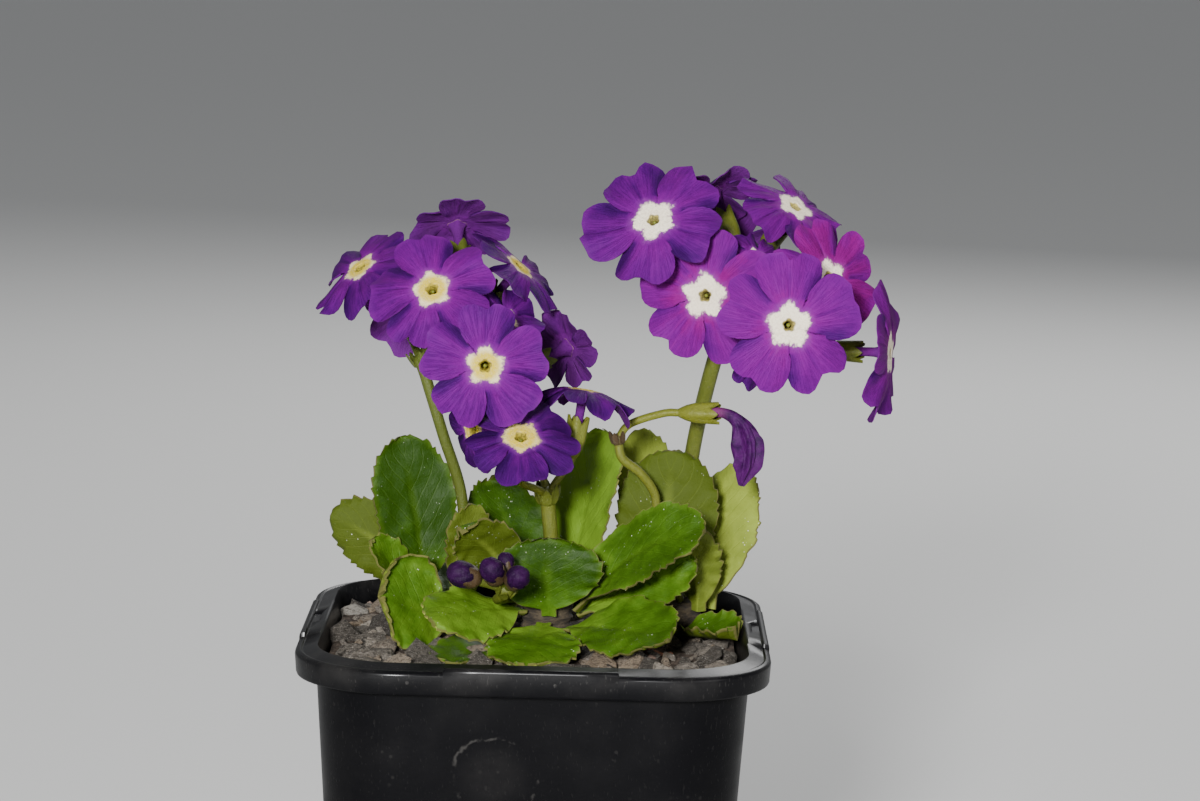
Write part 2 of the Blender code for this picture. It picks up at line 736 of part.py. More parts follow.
def build_corolla(flower, group, petal, eye):
    """A corolla: a tube that opens into five notched petals round an eye, as one sheet with a thickness."""
    radius = flower.radius * MM
    bm = bmesh.new()

    def ring(share, turns, depth=None):
        points = []
        for k in range(PETALS):
            for t in turns:
                angle = math.radians(90) + 2 * math.pi * (k + t) / PETALS
                reach = radius * share * (petal_reach(t) if share > MID_SHARE else 1)
                rise = limb_height(flower, share, t) * radius if depth is None else depth
                points.append(Vector((reach * math.cos(angle), reach * math.sin(angle), rise)))
        return points

    rings = [
        ring(TUBE_RADIUS / radius, COARSE_TURNS[:1], -TUBE_LENGTH),
        ring(TUBE_RADIUS / radius, COARSE_TURNS[:1], -TUBE_NECK),
        ring(THROAT_RADIUS / radius, COARSE_TURNS[:1], -THROAT_DEPTH),
        ring(EYE_SHARE, COARSE_TURNS),
        ring(MID_SHARE, COARSE_TURNS),
        ring(1.0, OUTLINE_TURNS),
    ]
    steps = loft(bm, rings)
    for face in steps[2]:
        face.material_index = 1
    bmesh.ops.recalc_face_normals(bm, faces=bm.faces)
    bmesh.ops.transform(bm, matrix=flower_matrix(flower), verts=bm.verts)
    corolla = add_mesh(flower.name, mesh_from(bm, flower.name, outward=False), group, petal, eye)
    solid = corolla.modifiers.new("thickness", "SOLIDIFY")
    solid.thickness = SHEET_THICK
    solid.offset = 0.0


def calyx(place, group):
    """A green cup with five teeth round the foot of a flower's tube. place is the flower's frame."""
    bm = bmesh.new()
    outer = 1.05 * (CALYX_INNER + CALYX_WALL)

    def ring(count, radius, height, tooth=0.0):
        points = []
        for i in range(count):
            angle = 2 * math.pi * i / count
            rise = height + (tooth if i % 2 else -tooth)
            points.append(Vector((radius * math.cos(angle), radius * math.sin(angle), rise)))
        return points

    rings = [
        ring(5, PEDICEL_RADIUS * 1.6, -CALYX_FLOOR * 2),
        ring(5, outer, GAP),
        ring(10, outer, CALYX_LENGTH, CALYX_TOOTH),
        ring(10, CALYX_INNER * 1.05, CALYX_LENGTH, CALYX_TOOTH),
        ring(5, CALYX_INNER * 1.25, -GAP),
    ]
    loft(bm, rings, cap_start=True, cap_end=True)
    foot = Matrix.Translation(Vector((0, 0, -TUBE_LENGTH)))
    bmesh.ops.transform(bm, matrix=place @ foot, verts=bm.verts)
    return add_mesh("calyx", mesh_from(bm, "calyx"), group)


def pedicel_path(start, place, foot):
    """A stalk from an umbel's knob that bends round to meet a calyx squarely."""
    end = place @ Vector((0, 0, foot))
    facing = (place.to_3x3() @ Vector((0, 0, 1))).normalized()
    reach = (end - start).length
    first = start + (end - start).normalized() * reach * 0.35 + Vector((0, 0, 0.1 * reach))
    last = end - facing * reach * 0.3
    path = []
    for i in range(PEDICEL_STEPS + 1):
        t = i / PEDICEL_STEPS
        path.append(
            start * (1 - t) ** 3 + first * 3 * t * (1 - t) ** 2 + last * 3 * t**2 * (1 - t) + end * t**3
        )
    return path


def build_umbel(umbel, group, green):
    """A scape with a knob at its head, and a stalk and a calyx for each flower, as one body."""
    count = 2 * (len(umbel.scape) - 1)
    path = smooth_path(umbel.scape, count)
    pieces = [tube("scape", path, [umbel.radius * MM] * (count + 1), group)]
    head = path[-1]
    pieces.append(ball("knob", head, [KNOB_RADIUS] * 3, group))
    for flower in umbel.flowers:
        place = flower_matrix(flower)
        stalk = pedicel_path(head, place, -TUBE_LENGTH - CALYX_FLOOR)
        pieces.append(tube("pedicel", stalk, [PEDICEL_RADIUS] * len(stalk), group, 4))
        pieces.append(calyx(place, group))
    join(umbel.name, pieces, group, green, solver="MANIFOLD")


def build_buds(group, green, purple):
    """A short stem low among the leaves, with four closed buds in their cups."""
    path = smooth_path(BUD_STEM, 8)
    head = path[-1]
    pieces = [
        tube("scape", path, [BUD_STEM_RADIUS * MM] * len(path), group),
        ball("knob", head, [BUD_KNOB_RADIUS * MM] * 3, group),
    ]
    for bud in BUDS:
        centre = mm(*bud.centre)
        radius = bud.radius * MM
        facing = (centre - head).normalized()
        turn = facing.to_track_quat("Z", "Y").to_matrix().to_4x4()
        shape = (radius, radius, radius * BUD_STRETCH)
        ball(bud.name, centre, shape, group, 6, 8, turn).data.materials.append(purple)
        top = centre - facing * (radius * BUD_STRETCH + GAP)
        pieces.append(tube("pedicel", [head, (head + top) / 2, top], BUD_STALK_RADII, group))
    join("bud_stem", pieces, group, green)


def build_spent_stem(group, green, purple):
    """A thin stem with one fading flower: its calyx still holds the tube, and the limb has collapsed."""
    path = smooth_path(SPENT_SCAPE, 9)
    stalk = smooth_path(SPENT_PEDICEL, 5)
    radius = SPENT_SCAPE_RADIUS * MM
    tube_path = smooth_path(SPENT_TUBE, 8)
    facing = (tube_path[1] - tube_path[0]).normalized()
    turn = facing.to_track_quat("Z", "Y").to_matrix().to_4x4()
    place = Matrix.Translation(tube_path[0] - facing * GAP) @ turn @ Matrix.Translation(Vector((0, 0, TUBE_LENGTH)))
    stalk.append(place @ Vector((0, 0, -TUBE_LENGTH - CALYX_FLOOR)))
    pieces = [
        tube("scape", path, [radius] * len(path), group),
        ball("knob", path[-1], (1.9 * MM, 1.7 * MM, 2.2 * MM), group),
        tube("pedicel", stalk, [radius * 0.85] * len(stalk), group),
        calyx(place, group),
    ]
    join("spent_flower_stem", pieces, group, green, solver="MANIFOLD")
    bm = bmesh.new()
    rings = []
    for i, point in enumerate(tube_path):
        here = i * (len(SPENT_RADII) - 1) / (len(tube_path) - 1)
        k = min(int(here), len(SPENT_RADII) - 2)
        size = (SPENT_RADII[k] + (SPENT_RADII[k + 1] - SPENT_RADII[k]) * (here - k)) * MM
        following = tube_path[min(i + 1, len(tube_path) - 1)] - tube_path[max(i - 1, 0)]
        across = following.cross(Vector((0, 1, 0))).normalized()
        outward = across.cross(following).normalized()
        crease = SPENT_CREASE if i > 2 else 0.0
        ring = []
        for j in range(SPENT_SIDES):
            angle = 2 * math.pi * j / SPENT_SIDES + SPENT_TWIST * i
            reach = size * (1 + (crease if j % 2 else -crease))
            flat = SPENT_FLATNESS * reach * math.sin(angle)
            ring.append(point + across * (reach * math.cos(angle)) + outward * flat)
        rings.append(ring)
    loft(bm, rings, cap_start=True, cap_end=True)
    add_mesh("flower_spent", mesh_from(bm, "flower_spent"), group, purple)


def main():
    """Builds every sub-part of the potted auricula."""
    clear_scene()
    group = collection("potted_auricula")
    green = material("leaf_green", LEAF_GREEN, 0.55)
    stem = material("stem_green", STEM_GREEN, 0.6)
    petals = {
        "petal_violet": material("petal_violet", VIOLET, 0.6),
        "petal_magenta": material("petal_magenta", MAGENTA, 0.6),
    }
    deep = material("bud_violet", DEEP_VIOLET, 0.6)
    build_pot(group)
    build_soil_and_rootstock(group)
    for leaf in LEAVES:
        build_leaf(leaf, group, green)
    for umbel in UMBELS:
        build_umbel(umbel, group, stem)
        eye = material(umbel.name.replace("stem", "eye"), umbel.eye, 0.8)
        for flower in umbel.flowers:
            build_corolla(flower, group, petals[umbel.petal], eye)
    build_buds(group, stem, deep)
    build_spent_stem(group, stem, deep)


main()
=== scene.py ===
"""A potted auricula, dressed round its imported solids.

A square nursery pot of gritty compost holds a rootstock with three crowns. Thick toothed leaves grow from
them, and five green stems: three umbels of violet flowers with mealy eyes, one cluster of buds and one spent
flower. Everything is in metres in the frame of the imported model: +Z up, -Y the front. Each piece here stands
for the solid of the same name, keeps its place and its main form, and adds what the solid leaves out.
"""

from __future__ import annotations

import json
import logging
import math
from dataclasses import dataclass
from enum import Enum
from random import Random
from typing import Callable, NamedTuple, Sequence

import bmesh
import bpy
import numpy as np
from mathutils import Matrix, Vector, noise

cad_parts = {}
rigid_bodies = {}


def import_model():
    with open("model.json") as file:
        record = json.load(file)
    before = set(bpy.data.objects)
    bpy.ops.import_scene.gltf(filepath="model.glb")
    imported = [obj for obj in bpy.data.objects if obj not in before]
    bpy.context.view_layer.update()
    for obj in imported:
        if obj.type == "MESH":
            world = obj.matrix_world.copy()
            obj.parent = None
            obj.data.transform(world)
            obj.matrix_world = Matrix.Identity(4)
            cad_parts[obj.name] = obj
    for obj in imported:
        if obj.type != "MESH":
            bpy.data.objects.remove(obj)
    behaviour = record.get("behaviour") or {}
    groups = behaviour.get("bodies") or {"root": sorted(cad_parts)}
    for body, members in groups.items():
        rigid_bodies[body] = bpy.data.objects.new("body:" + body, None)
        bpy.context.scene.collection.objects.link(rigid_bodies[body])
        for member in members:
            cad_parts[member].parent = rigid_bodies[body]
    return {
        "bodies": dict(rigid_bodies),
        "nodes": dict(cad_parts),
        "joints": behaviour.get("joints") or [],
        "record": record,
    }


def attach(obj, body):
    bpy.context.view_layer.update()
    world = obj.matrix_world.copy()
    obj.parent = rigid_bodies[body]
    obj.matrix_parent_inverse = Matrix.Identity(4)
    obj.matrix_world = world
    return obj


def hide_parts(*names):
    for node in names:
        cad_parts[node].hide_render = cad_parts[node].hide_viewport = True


LOG = logging.getLogger("potted_auricula")

MM = 0.001
BODY = "root"
GAP = 0.35 * MM
TURN = 2 * math.pi
SHARP = math.radians(60)

Place = tuple[float, float, float]
Colour = tuple[float, float, float]
Points = np.ndarray
Values = np.ndarray
Faces = list[tuple[int, ...]]
Piece = bpy.types.Object
Material = bpy.types.Material


class Slot(Enum):
    """The record's material slots."""

    POT = "pot_plastic"
    COMPOST = "gritty_compost"
    BARK = "rootstock_bark"
    LEAF = "leaf_green"
    STEM = "stem_green"
    MAGENTA = "petal_magenta"
    VIOLET = "petal_violet"
    BUD = "bud_violet"


# Shader maths


class Wire:
    """An output of a shader node. Its operators add the nodes that work the expression out."""

    def __init__(self, tree: ShaderTree, socket: bpy.types.NodeSocket) -> None:
        """Wraps a socket of a tree."""
        self.tree = tree
        self.socket = socket

    def __add__(self, other: Number) -> Wire:
        """self + other."""
        return self.tree.maths("ADD", self, other)

    __radd__ = __add__

    def __sub__(self, other: Number) -> Wire:
        """self - other."""
        return self.tree.maths("SUBTRACT", self, other)

    def __rsub__(self, other: Number) -> Wire:
        """other - self."""
        return self.tree.maths("SUBTRACT", other, self)

    def __mul__(self, other: Number) -> Wire:
        """self * other."""
        return self.tree.maths("MULTIPLY", self, other)

    __rmul__ = __mul__

    def __pow__(self, other: Number) -> Wire:
        """self ** other."""
        return self.tree.maths("POWER", self, other)

    def __abs__(self) -> Wire:
        """abs(self)."""
        return self.tree.maths("ABSOLUTE", self)


Number = Wire | float


class ShaderTree:
    """One material's nodes, written as expressions."""

    def __init__(self, name: str) -> None:
        """Starts a material with its Principled shader."""
        self.material = bpy.data.materials.new(name)
        self.material.use_nodes = True
        self.tree = self.material.node_tree
        self.shader = self.tree.nodes["Principled BSDF"]

    def node(
        self,
        kind: str,
        settings: dict | None = None,
        inputs: dict | None = None,
        output: int | str = 0,
    ) -> Wire:
        """Adds a node.

        Args:
            kind: The node's type.
            settings: Its properties, set first. A ramp's "stops" are (place, colour) pairs.
            inputs: A value or a Wire for each named or numbered socket.
            output: The output to use.

        Returns:
            The output as a Wire.
        """
        made = self.tree.nodes.new(kind)
        for key, value in (settings or {}).items():
            if key == "stops":
                ramp = made.color_ramp.elements
                while len(ramp) < len(value):
                    ramp.new(1.0)
                for element, (place, colour) in zip(ramp, value):
                    element.position = place
                    element.color = (*colour, 1)
            else:
                setattr(made, key, value)
        for key, value in (inputs or {}).items():
            self.plug(made.inputs[key], value)
        return Wire(self, made.outputs[output])

    def plug(self, socket: bpy.types.NodeSocket, value: Number | Sequence[float]) -> None:
        """Links a Wire to a socket, or sets the socket's value.

        Args:
            socket: The socket.
            value: The Wire, or the value. A colour needs three numbers.
        """
        if isinstance(value, Wire):
            self.tree.links.new(value.socket, socket)
        elif isinstance(value, (tuple, list)) and socket.type == "RGBA":
            socket.default_value = (*value, 1)
        else:
            socket.default_value = value

    def maths(self, operation: str, first: Number, second: Number = 0.0) -> Wire:
        """A Math node on one or two values."""
        return self.node("ShaderNodeMath", {"operation": operation}, {0: first, 1: second})

    def place(self) -> Wire:
        """Object coordinates, in metres."""
        return self.node("ShaderNodeTexCoord", output="Object")

    def split(self, vector: Wire) -> tuple[Wire, ...]:
        """The three parts of a vector."""
        parts = self.node("ShaderNodeSeparateXYZ", inputs={0: vector}).socket.node.outputs
        return tuple(Wire(self, part) for part in parts)

    def join(self, x: Number, y: Number, z: Number) -> Wire:
        """A vector from its three parts."""
        return self.node("ShaderNodeCombineXYZ", inputs={0: x, 1: y, 2: z})

    def uv(self) -> tuple[Wire, Wire]:
        """The two parts of the piece's own UV."""
        across, along, _ = self.split(self.node("ShaderNodeUVMap", {"uv_map": "UVMap"}))
        return across, along

    def value(self, name: str) -> Wire:
        """A named value of the piece's points."""
        return self.node("ShaderNodeAttribute", {"attribute_name": name}, output="Fac")

    def noise(self, where: Wire, pitch: float, detail: float = 3.0, rough: float = 0.55) -> Wire:
        """Adds a noise.

        Args:
            where: The coordinates that it is read at.
            pitch: How far apart its features are, in the units of where.
            detail: Its octaves.
            rough: How strong each octave is beside the one before.

        Returns:
            Values about 0.5.
        """
        inputs = {"Vector": where, "Scale": 1 / pitch, "Detail": detail, "Roughness": rough}
        return self.node("ShaderNodeTexNoise", inputs=inputs)

    def cells(self, where: Wire, pitch: float, feature: str = "F1") -> Wire:
        """The distance to the nearest of scattered points, in pitches."""
        return self.node("ShaderNodeTexVoronoi", {"feature": feature}, {"Vector": where, "Scale": 1 / pitch})

    def step(self, value: Wire, low: float, high: float) -> Wire:
        """Adds a smooth step.

        Args:
            value: What it is read at.
            low: Where it is 0. This may be above high.
            high: Where it is 1.

        Returns:
            The step.
        """
        inputs = {0: value, 1: low, 2: high, 3: 0.0, 4: 1.0}
        if low > high:
            inputs = {0: value, 1: high, 2: low, 3: 1.0, 4: 0.0}
        return self.node("ShaderNodeMapRange", {"interpolation_type": "SMOOTHSTEP"}, inputs)

    def mix(self, share: Number, first: Wire | Colour, second: Wire | Colour) -> Wire:
        """A colour between two others."""
        return self.node("ShaderNodeMix", {"data_type": "RGBA"}, {0: share, 6: first, 7: second}, output=2)

    def ramp(self, value: Wire, stops: Sequence[tuple[float, Colour]]) -> Wire:
        """A colour read from a ramp."""
        return self.node("ShaderNodeValToRGB", {"stops": stops}, {0: value})

    def bump(self, height: Wire, depth: float) -> None:
        """Bumps the surface: height 1 stands depth metres above height 0."""
        inputs = {"Height": height, "Distance": depth, "Strength": 1.0}
        self.plug(self.shader.inputs["Normal"], self.node("ShaderNodeBump", inputs=inputs, output="Normal"))

    def finish(self, colour: Wire | Colour, roughness: Number, **sockets: Number) -> Material:
        """Sets the shader's sockets.

        Args:
            colour: The base colour.
            roughness: The roughness.
            sockets: Any others, named with underscores for spaces.

        Returns:
            The finished material.
        """
        self.plug(self.shader.inputs["Base Color"], colour)
        self.plug(self.shader.inputs["Roughness"], roughness)
        for name, value in sockets.items():
            self.plug(self.shader.inputs[name.replace("_", " ")], value)
        return self.material


# Finishes


@dataclass(frozen=True)
class PotPlastic:
    """Black moulded plastic: a dull gloss, fine scuffs, and dust and lime along the rim."""

    black: Colour = (0.0015, 0.0015, 0.002)
    dust: Colour = (0.06, 0.057, 0.053)
    rim_height: float = 92 * MM
    rim_top: float = 98 * MM
    scuff_x: float = -7 * MM
    scuff_z: float = 76 * MM
    scuff_radius: float = 7 * MM

    def material(self) -> Material:
        """The finish as a material."""
        t = ShaderTree("pot_plastic_scuffed")
        where = t.place()
        x, y, z = t.split(where)
        drawn = t.join(x * 0.35, y * 0.35, z * 1.0)
        scratch = t.step(t.noise(t.join(x * 3.0, y * 3.0, z + x * 0.8), 1.1 * MM, 2, 0.4), 0.66, 0.7)
        cloud = t.noise(where, 14 * MM, 5, 0.6)
        rim = t.step(z, self.rim_height - 1 * MM, self.rim_top - 0.5 * MM)
        speck = t.step(t.cells(where, 2.6 * MM), 0.16, 0.1) * t.step(t.noise(where, 9 * MM, 2), 0.5, 0.66)
        worn = (cloud - 0.5) * 7 * MM + (t.noise(where, 30 * MM, 2) - 0.5) * 6 * MM
        away = t.maths("SQRT", (x - self.scuff_x) ** 2.0 + (z - self.scuff_z) ** 2.0) + worn
        front = t.step(y, -30 * MM, -34 * MM)
        broken = t.step(t.noise(where, 3.2 * MM, 3), 0.48, 0.6)
        arc = t.step(abs(away - self.scuff_radius), 0.4 * MM, 0.0) * broken * front
        haze = t.step(away, self.scuff_radius, self.scuff_radius * 0.3) * front
        haze *= t.noise(where, 2 * MM, 4, 0.7)
        film = t.step(cloud, 0.42, 0.75) * (0.03 + rim * 0.2)
        dusty = film + scratch * (0.06 + rim * 0.16) + speck * (0.1 + rim * 0.5) + arc * 0.35 + haze * 0.1
        colour = t.mix(t.maths("MINIMUM", dusty, 0.95), self.black, self.dust)
        rough = 0.3 + film * 0.4 + t.noise(drawn, 5 * MM, 4) * 0.2
        grain = t.noise(where, 0.5 * MM, 3) * 0.4 + t.noise(drawn, 4 * MM, 3) * 1.0
        t.bump(grain - scratch * 0.5, 0.05 * MM)
        gloss = 0.03 + rim * 0.2
        return t.finish(colour, rough, Specular_IOR_Level=0.05, Coat_Weight=gloss, Coat_Roughness=0.22)


@dataclass(frozen=True)
class Compost:
    """Dry peaty compost between the stones: dark crumbs with paler fibres."""

    dark: Colour = (0.035, 0.026, 0.02)
    light: Colour = (0.15, 0.115, 0.09)

    def material(self) -> Material:
        """The finish as a material."""
        t = ShaderTree("compost_crumbs")
        where = t.place()
        crumbs = t.noise(where, 1.6 * MM, 6, 0.7)
        x, y, _ = t.split(where)
        fibre = t.step(t.noise(t.join(x * 4.0, y, 0.0), 3 * MM, 2), 0.6, 0.66)
        paleness = t.maths("MINIMUM", t.step(crumbs, 0.35, 0.75) + fibre * 0.3, 1.0)
        colour = t.mix(paleness, self.dark, self.light)
        t.bump(crumbs, 0.9 * MM)
        return t.finish(colour, 0.95, Specular_IOR_Level=0.15)


@dataclass(frozen=True)
class GritStone:
    """Grey and brown stones and bark flakes, each in its own tone, with a layered grain and painted glints."""

    tones: tuple[tuple[float, Colour], ...] = (
        (0.0, (0.07, 0.06, 0.05)),
        (0.35, (0.16, 0.14, 0.115)),
        (0.6, (0.26, 0.225, 0.185)),
        (0.8, (0.31, 0.23, 0.15)),
        (0.95, (0.42, 0.39, 0.34)),
        (1.0, (0.42, 0.13, 0.05)),
    )

    def material(self) -> Material:
        """The finish as a material."""
        t = ShaderTree("grit_stone")
        where = t.place()
        x, y, z = t.split(where)
        grain = t.noise(t.join(x, y * 1.4, z * 2.2), 0.9 * MM, 6, 0.8)
        pits = t.step(t.cells(where, 0.7 * MM), 0.28, 0.05)
        # Painted glints: tiny pale specks that stand in for light caught by the grain.
        painted_glint = t.step(t.noise(where, 0.25 * MM, 2), 0.62, 0.7)
        tone = t.value("tone")
        base = t.ramp(tone, self.tones)
        dark = t.mix(0.72, base, (0.016, 0.013, 0.01))
        pale = t.mix(0.55, base, (0.5, 0.46, 0.41))
        colour = t.mix(t.step(grain, 0.38, 0.53), dark, base)
        colour = t.mix(t.step(grain, 0.54, 0.68) * 0.85, colour, pale)
        colour = t.mix(pits * 0.55, colour, (0.018, 0.014, 0.012))
        colour = t.mix(painted_glint * 0.6, colour, (0.62, 0.58, 0.52))
        t.bump(grain * 1.3 + t.noise(where, 3 * MM, 3) - pits * 0.4, 2 * MM)
        return t.finish(colour, 0.9, Specular_IOR_Level=0.2)


@dataclass(frozen=True)
class Bark:
    """The woody rootstock: rough, brown, with pale leaf scars."""

    dark: Colour = (0.012, 0.008, 0.005)
    light: Colour = (0.055, 0.04, 0.02)

    def material(self) -> Material:
        """The finish as a material."""
        t = ShaderTree("rootstock_bark_rough")
        x, y, z = t.split(t.place())
        rings = t.noise(t.join(x, y, z * 3.0), 3.2 * MM, 5, 0.65)
        t.bump(rings, 0.8 * MM)
        return t.finish(t.mix(t.step(rings, 0.35, 0.7), self.dark, self.light), 0.85)


@dataclass(frozen=True)
class LeafSkin:
    """A thick leaf: mottled green above, pale olive below, with veins, meal and a dry pale margin."""

    deep: Colour = (0.012, 0.035, 0.0005)
    mid: Colour = (0.035, 0.084, 0.0025)
    bright: Colour = (0.088, 0.162, 0.011)
    under: Colour = (0.04, 0.058, 0.003)
    under_pale: Colour = (0.215, 0.27, 0.035)
    margin: Colour = (0.095, 0.082, 0.027)
    meal: Colour = (0.75, 0.76, 0.66)

    def material(self) -> Material:
        """The finish as a material."""
        t = ShaderTree("leaf_skin")
        where = t.place()
        across, along = t.uv()
        side = abs(across * 2.0 - 1.0)
        tone = t.value("tone")
        below = t.value("below")
        rim = t.value("margin")
        cloud = t.noise(where, 7 * MM, 4, 0.6)
        fine = t.noise(where, 0.9 * MM, 3, 0.6)
        rib = t.step(side, 0.14, 0.02) * t.step(along, 0.95, 0.5)
        bend = along * 9.0 - side * 3.2 + (cloud - 0.5) * 0.6
        saw = abs(t.maths("FRACT", bend) - 0.5) * 2.0
        vein = t.step(saw, 0.8, 1.0) * t.step(side, 0.95, 0.6) * t.step(along, 0.15, 0.3)
        patchy = t.noise(where, 3 * MM, 3, 0.6)
        blotch = tone + (cloud - 0.5) * 0.95 + (patchy - 0.5) * 0.4 + (fine - 0.5) * 0.3
        blotch += t.step(along, 0.5, 0.12) * 0.45
        above = t.ramp(blotch, ((0.0, self.deep), (0.5, self.mid), (1.0, self.bright)))
        above = t.mix(rib * 0.12 + vein * 0.06, above, self.bright)
        above = t.mix(t.step(rim, 1.6, 0.2) * 0.22, above, self.bright)
        back = t.mix(t.step(tone + (cloud - 0.5) * 0.5, 0.25, 1.0), self.under, self.under_pale)
        back = t.mix(rib * 0.25 + vein * 0.05, back, self.under_pale)
        colour = t.mix(below, above, back)
        dry = t.step(rim + (fine - 0.5) * 0.3, 0.2, 0.04)
        colour = t.mix(dry * 0.75, colour, self.margin)
        patch = t.step(t.noise(where, 6 * MM, 2), 0.5, 0.68)
        speck = t.step(t.cells(where, 0.8 * MM), 0.2, 0.1) * patch * t.step(fine, 0.5, 0.6)
        colour = t.mix(speck * 0.75, colour, self.meal)
        gland = t.noise(where, 0.32 * MM, 2, 0.6)
        height = cloud * 0.9 + patchy * 0.4 + fine * 0.25 + gland * 0.16
        t.bump(height - rib * 0.2 - vein * 0.1 + speck * 0.2, 0.4 * MM)
        rough = 0.55 + below * 0.15 + dry * 0.2 + speck * 0.3 + (cloud - 0.5) * 0.2
        return t.finish(colour, rough, Specular_IOR_Level=0.13)


@dataclass(frozen=True)
class PetalSkin:
    """A velvety petal with fine fanned veins, round a mealy eye with a feathered edge. Its crease and the side
    under its neighbour carry painted shade, and its tip a painted highlight.
    """

    tones: tuple[tuple[float, Colour], ...] = (
        (0.0, (0.014, 0.0, 0.036)),
        (0.3, (0.034, 0.0, 0.07)),
        (0.55, (0.074, 0.0005, 0.11)),
        (0.8, (0.105, 0.0008, 0.13)),
        (1.0, (0.13, 0.0005, 0.108)),
    )
    back: Colour = (0.07, 0.008, 0.1)
    # A lighter pink painted at the petal's tip as a highlight.
    rim: Colour = (0.17, 0.02, 0.21)
    halo: Colour = (0.22, 0.06, 0.26)
    white: Colour = (0.7, 0.63, 0.51)
    yellow: Colour = (0.44, 0.33, 0.002)
    throat: Colour = (0.3, 0.24, 0.03)

    def material(self) -> Material:
        """The finish as a material."""
        t = ShaderTree("petal_skin")
        where = t.place()
        across, along = t.uv()
        turn = across - 0.5
        tone = t.value("tone")
        below = t.value("below")
        warm = t.value("warm")
        eye = t.value("eye")
        deep = t.value("deep")
        cloud = t.noise(where, 4 * MM, 4, 0.6)
        fine = t.noise(where, 0.45 * MM, 3, 0.6)
        fan = t.noise(t.join(turn * 26.0, along * 1.6, tone * 7.0), 1.0, 3, 0.55)
        streak = t.noise(t.join(turn * 7.0, along * 1.3, tone * 11.0), 1.0, 3, 0.55)
        vein = t.step(abs(fan - 0.5), 0.05, 0.0) * t.step(along, 0.28, 0.5) * t.step(along, 1.0, 0.85)
        outside = t.step(along, 0.3, 0.45)
        # The midline crease dips the bump; its darkening of the colour is painted shade.
        crease_and_shade = t.step(abs(turn), 0.06, 0.0) * t.step(along, 0.95, 0.4) * outside
        # Painted shadow on the side of each petal that lies under its neighbour.
        under = t.step(turn, -0.22, -0.45) * t.step(along, 0.34, 0.42) * t.step(along, 1.0, 0.7)
        shade = tone + (cloud - 0.5) * 0.4 + (streak - 0.5) * 0.35 - vein * 0.06 - crease_and_shade * 0.14 - under * 0.38
        shade = shade + t.step(along, 0.75, 0.32) * 0.13 - t.step(along, 0.7, 1.0) * 0.08
        petal = t.ramp(shade, self.tones)
        # Painted highlight: the petal's tip lightened towards the rim colour.
        petal = t.mix(t.step(along, 0.9, 1.0) * 0.12, petal, self.rim)
        feather = t.noise(t.join(turn * 9.0, along * 3.0, warm * 5.0 + tone * 9.0), 1.0, 4, 0.7)
        star = t.maths("COSINE", turn * TURN) * 0.035
        reach = eye + star + (feather - 0.5) * 0.08 + (t.noise(where, 1.8 * MM, 5, 0.7) - 0.5) * 0.24
        mealy = t.step(along - reach, 0.026, -0.03)
        edge = t.step(along - reach, 0.11, -0.02)
        gold = t.step(warm - t.step(along, 0.13, 0.27) * 0.6, 0.0, 1.0)
        meal = t.mix(gold, self.white, self.yellow)
        meal = t.mix(t.step(fine, 0.35, 0.6) * 0.8, t.mix(0.4, meal, (0.45, 0.36, 0.25)), meal)
        meal = t.mix(deep * 0.9, meal, t.mix(t.step(fine, 0.4, 0.6), (0.09, 0.08, 0.01), self.throat))
        front = t.mix(edge * 0.28, petal, self.halo)
        front = t.mix(mealy, front, meal)
        colour = t.mix(below, front, t.mix(t.step(cloud, 0.3, 0.7) * 0.5, self.back, petal))
        height = fine * 0.35 - vein * 0.25 - crease_and_shade * 1.0 + cloud * 1.4
        t.bump(height + streak * outside * 1.6 + mealy * fine * 0.8, 0.2 * MM)
        rough = 0.62 + mealy * 0.25 + (cloud - 0.5) * 0.15
        return t.finish(colour, rough, Specular_IOR_Level=0.05)


@dataclass(frozen=True)
class StemSkin:
    """A juicy stem: yellow-green, paler with meal towards the flowers, faintly streaked along."""

    green: Colour = (0.05, 0.064, 0.006)
    pale: Colour = (0.115, 0.12, 0.011)
    brown: Colour = (0.04, 0.024, 0.01)
    meal: Colour = (0.4, 0.4, 0.22)

    def material(self) -> Material:
        """The finish as a material."""
        t = ShaderTree("stem_skin")
        where = t.place()
        x, y, z = t.split(where)
        tone = t.value("tone")
        dry = t.value("dry")
        cloud = t.noise(where, 4 * MM, 4, 0.6)
        streak = t.noise(t.join(x * 5.0, y * 5.0, z * 0.6), 2.5 * MM, 3)
        fine = t.noise(where, 0.35 * MM, 3, 0.65)
        paleness = tone + (streak - 0.5) * 0.5 + (cloud - 0.5) * 0.4
        colour = t.mix(t.step(paleness, 0.0, 1.0), self.green, self.pale)
        colour = t.mix(t.step(dry + (cloud - 0.5) * 0.8, 0.3, 0.9), colour, self.brown)
        dust = t.step(fine, 0.56, 0.7) * t.step(cloud, 0.4, 0.65)
        colour = t.mix(dust * 0.16, colour, self.meal)
        t.bump(fine * 0.6 + streak * 0.8 + dust * 0.5, 0.15 * MM)
        return t.finish(colour, 0.5 + dust * 0.25, Specular_IOR_Level=0.25)


